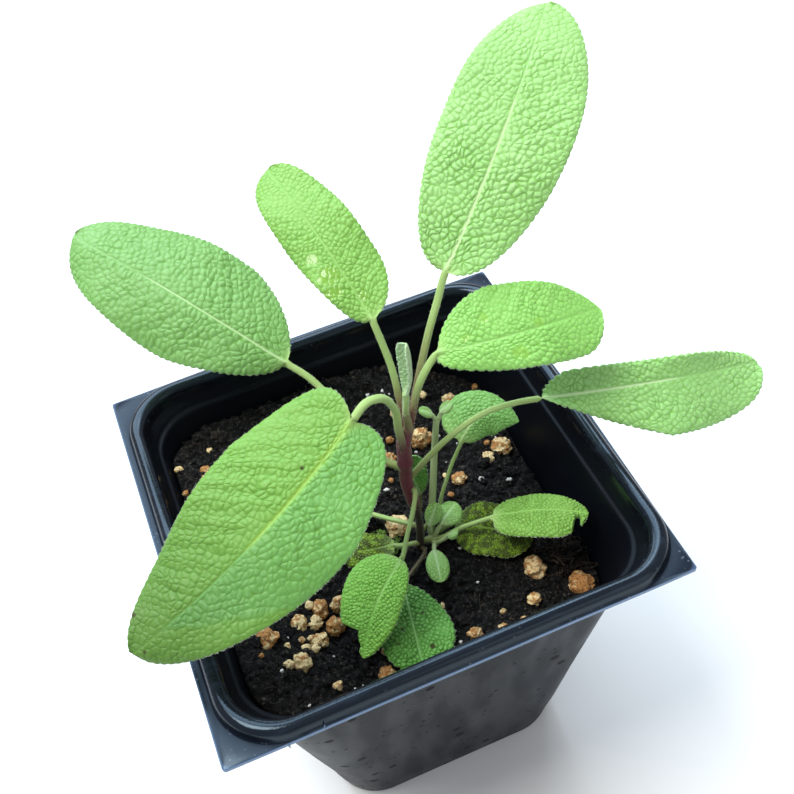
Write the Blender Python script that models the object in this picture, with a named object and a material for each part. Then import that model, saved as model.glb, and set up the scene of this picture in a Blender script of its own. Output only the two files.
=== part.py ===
"""Common sage growing in a small square nursery pot, as separate closed solids.

Lengths are millimetres here and become metres in the meshes. The origin is the centre of the pot's base, +Z is
up and +X runs along the pot's front edge. Heights of the soil, stem and leaves are measured from the top of the
pot's flange, the plane that the plant is seen to clear.
"""
import math
import random
from dataclasses import dataclass

import bmesh
import bpy
from mathutils import Vector

MM = 0.001
SEED = 11

# Pot: driving dimensions
POT_HEIGHT = 78.0
FLANGE_HALF = 44.5
FLANGE_CORNER = 0.6
RIM_HALF = 43.4
RIM_RADIUS = 11.5
WALL = 0.8
CLEARANCE = 0.3
RIM_HEIGHT = 2.6
LEDGE_DEPTH = 3.2
WALL_TOP_HALF = 38.3
WALL_TOP_RADIUS = 10.4
WALL_FOOT_HALF = 26.6
WALL_FOOT_RADIUS = 10.2
WALL_FOOT_HEIGHT = -76.0
CORNER_STEPS = 6
DRAIN_RADIUS = 4.5
DRAIN_PLACE = 15.0

# Soil
SOIL_DEPTH = 16.4
SOIL_RINGS = 10
SOIL_EDGE_STEPS = 4
SOIL_LUMP = 0.55
LEFT_BANK = 10.0
BACK_BANK = 8.5
RIGHT_DIP = 5.0
EDGE_DROP = 1.2
GRANULES = (
    (15.7, 17.0, 5.2), (6.8, 14.3, 3.6), (25.9, 24.8, 3.4), (13.1, 23.8, 3.0), (32.1, 10.4, 4.2), (27.6, 8.5, 3.6),
    (18.9, 3.6, 3.0), (2.4, -2.0, 4.4), (23.7, -22.1, 5.0), (30.8, -28.4, 5.6), (6.3, -31.4, 3.4), (11.8, -33.0, 3.0),
    (-15.1, -14.5, 3.8), (-19.1, -14.2, 3.6), (-21.1, -16.7, 3.2), (-17.6, -18.8, 4.0), (-21.6, -20.8, 3.6),
    (-26.1, -25.3, 3.8), (-24.1, -16.3, 3.4), (-30.9, -19.2, 4.4), (-32.3, -14.9, 3.2), (-30.9, 21.7, 3.0),
    (-27.0, 25.5, 3.0), (-10.1, 6.5, 3.4), (3.5, 21.5, 3.0), (-12.1, -32.4, 3.4), (19.9, -29.2, 3.2),
    (33.8, 23.9, 3.2), (-31.8, -2.4, 3.4),
)

# Main stem: points from the root to the growing tip, each with its radius
STEM_ROUTE = (
    ((4.7, -8.6, -25.0), 1.50),
    ((4.7, -8.6, -16.0), 1.50),
    ((5.5, -7.4, -8.0), 1.40),
    ((4.9, -5.0, 1.0), 1.35),
    ((5.3, -4.6, 8.0), 1.25),
    ((5.7, -4.5, 13.5), 1.25),
    ((7.0, -4.3, 16.5), 0.85),
    ((7.0, -3.9, 20.0), 0.70),
)
STEM_SIDES = 10
STEM_HOLE_RADIUS = 1.9
STEM_HOLE_FLOOR = -26.0

# Leaf blades
BLADE_HALF_THICKNESS = 0.34
LOBE_END = 0.3
PEBBLE = 0.34
MIDRIB_GROOVE = 0.22
TOOTH = 0.7
TOOTH_FADE = 0.14
MIDRIB_DEPTH = 0.45
SMALLEST_HALF = 0.9
ROW_START = 0.045
ROW_END = 0.985
ROW_EVEN = 0.55
STEEP = 0.85
PETIOLE_SIDES = 6
STALK_STEPS = 3

COLUMNS_LARGE = (-1.0, -0.82, -0.62, -0.42, -0.22, -0.035, 0.035, 0.22, 0.42, 0.62, 0.82, 1.0)
COLUMNS_MEDIUM = (-1.0, -0.7, -0.36, -0.05, 0.05, 0.36, 0.7, 1.0)
COLUMNS_SMALL = (-1.0, -0.5, -0.06, 0.06, 0.5, 1.0)
COLUMNS_TINY = (-1.0, -0.12, 0.12, 1.0)


@dataclass
class LeafPlan:
    """One leaf: its stalk's points from the stem to the foot of the blade, and the shape of its blade."""
    name: str
    stalk: tuple
    tip: tuple
    width: float
    rows: int
    columns: tuple
    stalk_radii: tuple = (0.95, 0.75)
    arch: float = 2.5
    sweep: float = 0.0
    roll: float = 0.0
    cup: float = 0.0
    wave: float = 0.0
    waves: float = 2.0
    widest: float = 0.5
    skew: float = 0.0
    foot_power: float = 1.9
    tip_power: float = 2.3
    uneven: float = 0.0
    lobes: tuple = (0.0, 0.0)
    bites: tuple = ()
    colour: tuple = (0.27, 0.5, 0.12)


LEAVES = (
    LeafPlan(
        "leaf_front_left",
        (
            (4.8, -5.0, 16.4), (4.9, -5.0, 20.5), (4.6, -5.2, 24.5), (2.6, -6.0, 29.0), (-1.0, -7.6, 31.0),
            (-4.1, -9.0, 29.5),
        ),
        (-51.9, -23.8, 10.4), 29.2, 28, COLUMNS_LARGE, (1.0, 0.85),
        arch=1.5, sweep=-2.4, wave=0.9, cup=-0.09, roll=-18.0, widest=0.3, foot_power=1.4, tip_power=1.76,
        uneven=0.06, lobes=(11.6, 16.0),
        colour=(0.29, 0.54, 0.14),
    ),
    LeafPlan(
        "leaf_back_tall", ((8.5, -2.9, 17.2), (15.4, 4.0, 28.5), (22.0, 9.0, 38.0)),
        (58.2, 39.5, 65.0), 24.9, 28, COLUMNS_LARGE, (0.95, 0.8),
        arch=3.0, sweep=1.5, wave=0.7, cup=-0.03, roll=10.0, widest=0.5, skew=0.03, foot_power=1.9, tip_power=1.65,
        uneven=0.02, lobes=(3.6, 2.8),
    ),
    LeafPlan(
        "leaf_left", ((3.5, -2.4, 2.0), (-0.8, 6.0, 10.5), (-4.1, 11.6, 16.0), (-9.1, 16.6, 22.0)),
        (-38.3, 55.8, 37.2), 25.2, 26, COLUMNS_LARGE, (0.95, 0.75),
        arch=4.0, sweep=-0.8, wave=0.8, cup=-0.27, roll=-13.7, widest=0.38, skew=-0.05, foot_power=1.6, tip_power=2.0,
        uneven=0.13,
    ),
    LeafPlan(
        "leaf_far_right", ((7.3, -4.7, 3.2), (14.0, -3.9, 8.2), (21.7, -3.0, 10.5), (33.3, -6.4, 13.0)),
        (74.2, -15.9, 11.7), 15.0, 24, COLUMNS_LARGE, (0.9, 0.8),
        arch=2.0, sweep=0.6, wave=1.1, cup=0.12, roll=38.2, widest=0.35, skew=0.18, foot_power=1.05, tip_power=2.6,
        uneven=0.39, lobes=(8.4, 0.0),
    ),
    LeafPlan(
        "leaf_back_left", ((6.7, -2.0, 20.3), (7.1, 3.9, 29.0), (6.4, 6.7, 35.0)),
        (0.2, 42.1, 46.8), 13.9, 20, COLUMNS_LARGE, (0.85, 0.75),
        arch=2.5, sweep=0.4, wave=0.6, cup=-0.05, roll=-12.3, widest=0.43, skew=-0.14, foot_power=2.0, tip_power=2.7,
        uneven=0.09, lobes=(0.7, 0.0),
    ),
    LeafPlan(
        "leaf_right", ((8.8, -4.4, 20.0), (11.0, -2.0, 25.5), (15.5, -0.8, 29.0)),
        (45.9, -4.2, 29.1), 17.2, 18, COLUMNS_LARGE, (0.95, 0.85),
        arch=3.0, sweep=1.1, wave=0.5, cup=-0.06, roll=31.0, widest=0.61, skew=0.22, foot_power=1.86, tip_power=1.8,
        uneven=-0.16, lobes=(0.2, 5.6),
    ),
    LeafPlan(
        "leaf_behind_right", ((10.6, -4.4, -13.2), (12.6, -2.9, -9.0), (15.8, -1.2, -3.5), (18.7, -0.4, 1.5)),
        (29.0, -2.1, 2.5), 11.1, 12, COLUMNS_MEDIUM, (0.6, 0.55),
        arch=1.6, sweep=-3.3, cup=-0.3, roll=22.0, widest=0.55, skew=0.2, foot_power=2.5, tip_power=1.5,
        uneven=-0.26, lobes=(0.5, 0.7), colour=(0.16, 0.36, 0.11),
    ),
    LeafPlan(
        "leaf_low_front", ((6.0, -7.5, 0.6), (3.6, -10.5, -0.6), (1.0, -13.4, -2.8), (-1.6, -16.4, -5.5)),
        (-15.3, -29.1, -11.8), 12.2, 16, COLUMNS_MEDIUM, (0.65, 0.6),
        arch=1.6, sweep=1.1, cup=-0.03, roll=-4.0, widest=0.46, skew=-0.1, foot_power=2.1, tip_power=1.7,
        uneven=0.22, bites=((1, 0.76, 1.0, 0.6),),
        colour=(0.2, 0.42, 0.1),
    ),
    LeafPlan(
        "leaf_low_right", ((9.2, -9.9, -14.2), (13.2, -10.4, -12.2), (19.2, -13.2, -8.6)),
        (35.4, -22.0, -6.5), 12.4, 14, COLUMNS_MEDIUM, (0.6, 0.55),
        arch=1.2, sweep=-0.3, cup=-0.18, roll=-13.0, widest=0.62, skew=0.06, foot_power=2.8, tip_power=1.75,
        lobes=(1.2, 0.8), bites=((1, 0.9, 1.0, 0.7),),
        colour=(0.23, 0.46, 0.1),
    ),
    LeafPlan(
        "leaf_old_right", ((9.1, -7.7, -14.7), (10.8, -7.2, -14.8), (13.2, -7.2, -14.8)),
        (26.0, -17.2, -14.8), 13.0, 12, COLUMNS_MEDIUM, (0.5, 0.5),
        arch=0.5, wave=0.3, widest=0.45, foot_power=2.3, colour=(0.2, 0.3, 0.05),
    ),
    LeafPlan(
        "leaf_dark_front", ((4.6, -11.2, -14.8), (1.2, -13.8, -14.4), (-2.2, -16.0, -14.6)),
        (-5.6, -34.6, -14.4), 14.0, 13, COLUMNS_MEDIUM, (0.55, 0.5),
        arch=0.7, cup=0.08, widest=0.64, foot_power=1.5, colour=(0.08, 0.22, 0.05),
    ),
    LeafPlan(
        "leaf_low_left", ((3.1, -6.6, -13.0), (0.6, -2.8, -11.8), (-2.0, 0.8, -12.2)),
        (-15.0, 12.0, -13.2), 10.0, 12, COLUMNS_MEDIUM, (0.6, 0.55),
        arch=1.2, cup=-0.1, foot_power=2.2, colour=(0.2, 0.4, 0.1),
    ),
    LeafPlan(
        "leaf_old_front", ((2.65, -8.4, -13.9), (1.0, -8.0, -13.8), (-0.4, -7.4, -13.9)),
        (-11.0, -5.0, -13.9), 8.0, 9, COLUMNS_SMALL, (0.5, 0.5),
        arch=0.5, wave=0.3, foot_power=2.3, colour=(0.2, 0.3, 0.05),
    ),
    LeafPlan(
        "leaf_folded_dark", ((6.2, -5.5, -10.6), (7.1, -3.6, -9.2), (7.9, -2.3, -7.6)),
        (7.9, 0.3, 2.2), 5.0, 9, COLUMNS_SMALL, (0.6, 0.55),
        arch=-0.6, cup=0.7, roll=20.0, colour=(0.06, 0.19, 0.06),
    ),
    LeafPlan(
        "leaf_apex_outer", ((7.0, -4.0, 20.9), (7.2, -4.3, 23.5), (7.4, -4.5, 25.5)),
        (8.6, -4.4, 38.0), 4.4, 10, COLUMNS_SMALL, (0.62, 0.7),
        arch=-0.8, cup=0.75, widest=0.66, foot_power=1.7, tip_power=2.6, colour=(0.22, 0.42, 0.17),
    ),
)


SHOOT_ROUTE = ((7.7, -7.4, -14.2), (8.9, -5.3, -12.0), (12.0, -1.8, 1.0), (13.8, -0.6, 11.0))
CROWN_ROUTE = ((7.3, -10.6, -14.4), (7.5, -9.0, -14.4), (7.7, -7.2, -14.3))
CROWN_RADIUS = 0.7
SHOOT_LEAVES = (
    LeafPlan(
        "shoot_leaf_a", ((13.7, -0.7, 10.2), (13.4, -0.4, 11.2), (13.0, 0.0, 11.7)), (11.6, 2.0, 12.4),
        2.6, 5, COLUMNS_TINY, (0.45, 0.45), arch=0.3, cup=0.2,
    ),
    LeafPlan(
        "shoot_leaf_b", ((13.9, -0.6, 10.2), (14.5, -0.4, 11.2), (15.0, -0.2, 11.8)), (17.8, 0.8, 12.6),
        2.4, 5, COLUMNS_TINY, (0.45, 0.45), arch=0.3, cup=0.2,
    ),
    LeafPlan(
        "young_leaf_round", ((7.6, -8.0, -14.2), (7.5, -7.8, -12.8), (7.6, -7.4, -11.8)), (10.4, -5.2, -8.4),
        3.6, 6, COLUMNS_TINY, (0.5, 0.5), arch=0.3, cup=0.15,
    ),
    LeafPlan(
        "young_leaf_broad", ((7.6, -8.9, -14.2), (8.8, -8.5, -12.6), (9.8, -8.2, -11.8)), (14.4, -5.4, -10.6),
        5.6, 7, COLUMNS_TINY, (0.5, 0.5), arch=0.5, cup=-0.15,
    ),
    LeafPlan(
        "young_leaf_tiny", ((7.4, -10.3, -14.2), (9.0, -11.4, -13.3), (9.9, -11.9, -13.0)), (12.0, -13.0, -12.5),
        2.0, 5, COLUMNS_TINY, (0.4, 0.4), arch=0.2,
    ),
    LeafPlan(
        "young_leaf_oval", ((7.3, -10.2, -14.3), (6.6, -11.6, -13.0), (6.2, -12.6, -12.6)), (4.7, -19.6, -12.8),
        5.2, 8, COLUMNS_TINY, (0.45, 0.45), arch=0.8, cup=-0.15,
    ),
)


def lifted(point):
    """Turn millimetres above the flange into metres above the base."""
    x, y, z = point
    return Vector((x * MM, y * MM, (z + POT_HEIGHT) * MM))


def clear_scene():
    for item in list(bpy.data.objects):
        bpy.data.objects.remove(item, do_unlink=True)


def finish_material(name, colour, roughness):
    material = bpy.data.materials.new(name)
    material.use_nodes = True
    shader = material.node_tree.nodes["Principled BSDF"]
    shader.inputs["Base Color"].default_value = (*colour, 1.0)
    shader.inputs["Roughness"].default_value = roughness
    shader.inputs["Metallic"].default_value = 0.0
    return material


def make_object(name, vertices, faces, material=None):
    """Build one closed mesh object from points in metres, with its faces turned outwards."""
    mesh = bpy.data.meshes.new(name)
    mesh.from_pydata(vertices, [], faces)
    shape = bmesh.new()
    shape.from_mesh(mesh)
    bmesh.ops.recalc_face_normals(shape, faces=shape.faces)
    shape.to_mesh(mesh)
    shape.free()
    item = bpy.data.objects.new(name, mesh)
    bpy.context.scene.collection.objects.link(item)
    if material is not None:
        mesh.materials.append(material)
    return item


def shade_round(item, degrees=40.0):
    item.data.shade_smooth()
    item.data.set_sharp_from_angle(angle=math.radians(degrees))


def fuse(body, others):
    """Join the other solids to the body with one Boolean union, and remove them."""
    group = bpy.data.collections.new(body.name + "_pieces")
    bpy.context.scene.collection.children.link(group)
    for other in others:
        bpy.context.scene.collection.objects.unlink(other)
        group.objects.link(other)
    union = body.modifiers.new("union", "BOOLEAN")
    union.operation = "UNION"
    union.operand_type = "COLLECTION"
    union.collection = group
    union.solver = "EXACT"
    bpy.context.view_layer.update()
    joined = bpy.data.meshes.new_from_object(body.evaluated_get(bpy.context.evaluated_depsgraph_get()))
    body.modifiers.clear()
    body.data = joined
    for other in others:
        bpy.data.objects.remove(other, do_unlink=True)
    bpy.data.collections.remove(group)


def cut(body, cutter, solver="EXACT"):
    """Subtract a cutter, which stays in the scene as a wire guide."""
    cutter.hide_render = True
    cutter.display_type = "WIRE"
    difference = body.modifiers.new("cut_" + cutter.name, "BOOLEAN")
    difference.operation = "DIFFERENCE"
    difference.object = cutter
    difference.solver = solver


def rounded_square(half, radius, edge_steps=1):
    """List the points of a square with round corners, anticlockwise, starting on the +X side."""
    centre = half - radius
    corners = []
    for quarter in range(4):
        turn = math.radians(90.0 * quarter)
        for step in range(CORNER_STEPS + 1):
            angle = math.radians(90.0 * step / CORNER_STEPS)
            x = centre + radius * math.cos(angle)
            y = centre + radius * math.sin(angle)
            corners.append((x * math.cos(turn) - y * math.sin(turn), x * math.sin(turn) + y * math.cos(turn)))
    points = []
    for index, start in enumerate(corners):
        points.append(start)
        if index % (CORNER_STEPS + 1) == CORNER_STEPS:
            end = corners[(index + 1) % len(corners)]
            for step in range(1, edge_steps):
                part = step / edge_steps
                points.append((start[0] + (end[0] - start[0]) * part, start[1] + (end[1] - start[1]) * part))
    return points


def skin(loops, cap_start=True, cap_end=True):
    """Join loops of equal length into the faces of one tube, with its ends capped."""
    count = len(loops[0])
    vertices = [point for loop in loops for point in loop]
    faces = []
    for row in range(len(loops) - 1):
        for index in range(count):
            near = row * count + index
            beside = row * count + (index + 1) % count
            faces.append((near, beside, beside + count, near + count))
    if cap_start:
        faces.append(tuple(range(count)))
    if cap_end:
        faces.append(tuple(range((len(loops) - 1) * count, len(loops) * count)))
    return vertices, faces


def wall_half(height):
    """Half-width of the tapered wall's inner face at a height above the flange."""
    top = -LEDGE_DEPTH - 0.6
    part = (top - height) / (top - WALL_FOOT_HEIGHT)
    return WALL_TOP_HALF + (WALL_FOOT_HALF - WALL_TOP_HALF) * part


def wall_radius(height):
    """Corner radius of the tapered wall's inner face at a height above the flange."""
    top = -LEDGE_DEPTH - 0.6
    part = (top - height) / (top - WALL_FOOT_HEIGHT)
    return WALL_TOP_RADIUS + (WALL_FOOT_RADIUS - WALL_TOP_RADIUS) * part


def build_pot():
    """A thin formed shell: flat flange, hollow raised rim, ledge, tapered wall and floor."""
    floor = WALL - POT_HEIGHT
    inner = (
        (FLANGE_HALF, FLANGE_CORNER, 0.0),
        (RIM_HALF, RIM_RADIUS, 0.0),
        (RIM_HALF - 0.4, RIM_RADIUS - 0.4, RIM_HEIGHT - 1.0),
        (RIM_HALF - 1.0, RIM_RADIUS - 0.8, RIM_HEIGHT - 0.2),
        (RIM_HALF - 2.0, RIM_RADIUS - 1.3, RIM_HEIGHT),
        (RIM_HALF - 2.9, RIM_RADIUS - 1.6, RIM_HEIGHT - 0.7),
        (RIM_HALF - 3.6, RIM_RADIUS - 1.7, 0.0),
        (WALL_TOP_HALF + 0.9, WALL_TOP_RADIUS + 0.2, 0.4 - LEDGE_DEPTH),
        (WALL_TOP_HALF, WALL_TOP_RADIUS, -LEDGE_DEPTH - 0.6),
        (WALL_FOOT_HALF, WALL_FOOT_RADIUS, WALL_FOOT_HEIGHT),
        (WALL_FOOT_HALF - 1.0, WALL_FOOT_RADIUS - 0.8, floor),
    )
    outer = (
        (WALL_FOOT_HALF - 0.6, WALL_FOOT_RADIUS - 0.6, -POT_HEIGHT),
        (WALL_FOOT_HALF + WALL, WALL_FOOT_RADIUS + WALL, WALL_FOOT_HEIGHT - 0.6),
        (WALL_TOP_HALF + WALL, WALL_TOP_RADIUS + WALL, -LEDGE_DEPTH - 1.4),
        (WALL_TOP_HALF + 0.9 + WALL, WALL_TOP_RADIUS + 1.0, -LEDGE_DEPTH - 0.2),
        (RIM_HALF - 2.8, RIM_RADIUS - 0.9, -0.4),
        (RIM_HALF - 2.2, RIM_RADIUS - 0.9, RIM_HEIGHT - 1.3),
        (RIM_HALF - 1.2, RIM_RADIUS - 0.9, RIM_HEIGHT - 1.3),
        (RIM_HALF - 0.8, RIM_RADIUS - 0.8, -WALL),
        (FLANGE_HALF, FLANGE_CORNER, -WALL),
    )
    loops = [
        [lifted((x, y, height)) for x, y in rounded_square(half, radius)]
        for half, radius, height in tuple(reversed(inner)) + tuple(reversed(outer))
    ]
    pot = make_object("pot", *skin(loops), finish_material("black_pot", (0.016, 0.018, 0.022), 0.3))
    for index, (x, y) in enumerate(((1, 1), (-1, 1), (-1, -1), (1, -1))):
        bpy.ops.mesh.primitive_cylinder_add(
            vertices=12, radius=DRAIN_RADIUS * MM, depth=4.0 * MM,
            location=(x * DRAIN_PLACE * MM, y * DRAIN_PLACE * MM, 0.0),
        )
        cutter = bpy.context.object
        cutter.name = f"drain_{index}"
        cut(pot, cutter)
    shade_round(pot)
    return pot


def climb(value, start, end):
    """Climb smoothly from 0 at start to 1 at end."""
    part = min(1.0, max(0.0, (value - start) / (end - start)))
    return part * part * (3.0 - 2.0 * part)


def soil_level(x, y):
    """Mean height of the soil: level in the middle, heaped at the left and the back, sunk at the right."""
    left = LEFT_BANK * climb(-x, 14.0, 38.0)
    back = BACK_BANK * climb(y, 13.0, 38.0) * (1.0 - climb(x, 8.0, 34.0))
    return -SOIL_DEPTH + max(left, back) - RIGHT_DIP * climb(x, 16.0, 37.0) * (1.0 - 0.5 * climb(y, 5.0, 36.0))


def soil_height(x, y, draw):
    """Height of the soil's lumpy surface at one place, smoother round the stem."""
    stem_x, stem_y, _ = STEM_ROUTE[1][0]
    near = math.exp(-((x - stem_x) ** 2 + (y - stem_y) ** 2) / 60.0)
    swell = 0.35 * math.sin(0.21 * x + 1.0) * math.cos(0.17 * y - 0.6)
    lump = draw.uniform(-SOIL_LUMP, SOIL_LUMP) * (1.0 - near)
    return soil_level(x, y) + (swell + lump) * (1.0 - near)


def build_granule(index, x, y, width, draw):
    """One clay granule: a rough twelve-cornered stone, sunk well into the soil."""
    shape = bmesh.new()
    bmesh.ops.create_icosphere(shape, subdivisions=1, radius=0.5 * width)
    turn = draw.uniform(0.0, math.pi)
    for vertex in shape.verts:
        vertex.co *= draw.uniform(0.85, 1.1)
        vertex.co.z *= 0.8
        flat = vertex.co.copy()
        vertex.co.x = flat.x * math.cos(turn) - flat.y * math.sin(turn)
        vertex.co.y = flat.x * math.sin(turn) + flat.y * math.cos(turn)
        vertex.co = lifted((vertex.co.x + x, vertex.co.y + y, vertex.co.z + soil_level(x, y) + 0.1 * width))
    mesh = bpy.data.meshes.new(f"granule_{index}")
    shape.to_mesh(mesh)
    shape.free()
    item = bpy.data.objects.new(mesh.name, mesh)
    bpy.context.scene.collection.objects.link(item)
    return item


def build_soil():
    """The filling: tapered sides a little clear of the wall, and a lumpy top with granules in it."""
    draw = random.Random(SEED)
    sides = (
        (WALL_FOOT_HALF - 1.0, WALL_FOOT_RADIUS - 0.8, WALL - POT_HEIGHT + CLEARANCE),
        (wall_half(WALL_FOOT_HEIGHT + 1.0), WALL_FOOT_RADIUS, WALL_FOOT_HEIGHT + 1.0),
    )
    loops = []
    for half, radius, height in sides:
        outline = rounded_square(half - CLEARANCE, radius - CLEARANCE, SOIL_EDGE_STEPS)
        loops.append([lifted((x, y, height)) for x, y in outline])
    level = wall_half(-SOIL_DEPTH) - CLEARANCE
    rim = []
    for x, y in rounded_square(level, wall_radius(-SOIL_DEPTH) - CLEARANCE, SOIL_EDGE_STEPS):
        height = soil_level(x, y) - EDGE_DROP
        scale = (wall_half(height) - CLEARANCE) / level
        rim.append((x * scale, y * scale, height))
    loops.append([lifted(point) for point in rim])
    for ring in range(1, SOIL_RINGS):
        scale = 1.0 - ring / SOIL_RINGS
        loops.append([lifted((x * scale, y * scale, soil_height(x * scale, y * scale, draw))) for x, y, _ in rim])
    vertices, faces = skin(loops, cap_end=False)
    count = len(rim)
    centre = len(vertices)
    vertices.append(lifted((0.0, 0.0, soil_height(0.0, 0.0, draw))))
    first = centre - count
    faces.extend((first + index, first + (index + 1) % count, centre) for index in range(count))
    soil = make_object("soil", vertices, faces, finish_material("peat", (0.012, 0.009, 0.008), 0.95))
    fuse(soil, [build_granule(index, *place, draw) for index, place in enumerate(GRANULES)])
    x, y, _ = STEM_ROUTE[0][0]
    top = -SOIL_DEPTH + 6.0
    bpy.ops.mesh.primitive_cylinder_add(
        vertices=STEM_SIDES, radius=STEM_HOLE_RADIUS * MM, depth=(top - STEM_HOLE_FLOOR) * MM,
        location=lifted((x, y, 0.5 * (top + STEM_HOLE_FLOOR))),
    )
    cutter = bpy.context.object
    cutter.name = "stem_hole"
    cut(soil, cutter, "MANIFOLD")
    return soil


def smooth_route(points, steps):
    """Sample a smooth curve through the points, with the given number of steps in each span."""
    padded = [2 * points[0] - points[1], *points, 2 * points[-1] - points[-2]]
    samples = []
    for span in range(len(points) - 1):
        before, start, end, after = padded[span:span + 4]
        for step in range(steps):
            t = step / steps
            samples.append(0.5 * (
                2 * start + (end - before) * t + (2 * before - 5 * start + 4 * end - after) * t ** 2
                + (3 * start - before - 3 * end + after) * t ** 3
            ))
    samples.append(points[-1].copy())
    return samples


def tangents(points):
    """Unit direction of a route at each of its points."""
    last = len(points) - 1
    return [(points[min(i + 1, last)] - points[max(i - 1, 0)]).normalized() for i in range(last + 1)]


def carry_normals(directions, seat, normal):
    """Carry a normal along a route without twist, both ways from the point where it is known."""
    normals = [None] * len(directions)
    current = normal
    for index in range(seat, len(directions)):
        current = (current - directions[index] * current.dot(directions[index])).normalized()
        normals[index] = current
    current = normals[seat]
    for index in range(seat - 1, -1, -1):
        current = (current - directions[index] * current.dot(directions[index])).normalized()
        normals[index] = current
    return normals


def round_loop(centre, direction, normal, radius, sides):
    """A ring round a route, starting on its left and passing over its top."""
    side = direction.cross(normal)
    ring = []
    for index in range(sides):
        angle = math.pi - 2.0 * math.pi * index / sides
        ring.append(centre + side * (radius * math.cos(angle)) + normal * (radius * math.sin(angle)))
    return ring


def build_stem():
    """The main stem, from its root in the soil's hole to the growing tip."""
    points = [Vector(point) for point, _ in STEM_ROUTE]
    radii = [radius for _, radius in STEM_ROUTE]
    steps = 3
    route = smooth_route(points, steps)
    directions = tangents(route)
    normals = carry_normals(directions, 0, Vector((0.0, 1.0, 0.0)))
    loops = []
    for index, centre in enumerate(route):
        span, step = divmod(index, steps)
        after = radii[min(span + 1, len(radii) - 1)]
        radius = radii[span] + (after - radii[span]) * step / steps
        ring = round_loop(centre, directions[index], normals[index], radius, STEM_SIDES)
        loops.append([lifted(point) for point in ring])
    stem = make_object("main_stem", *skin(loops), finish_material("purple_stem", (0.13, 0.03, 0.05), 0.5))
    shade_round(stem)
    return stem


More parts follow.
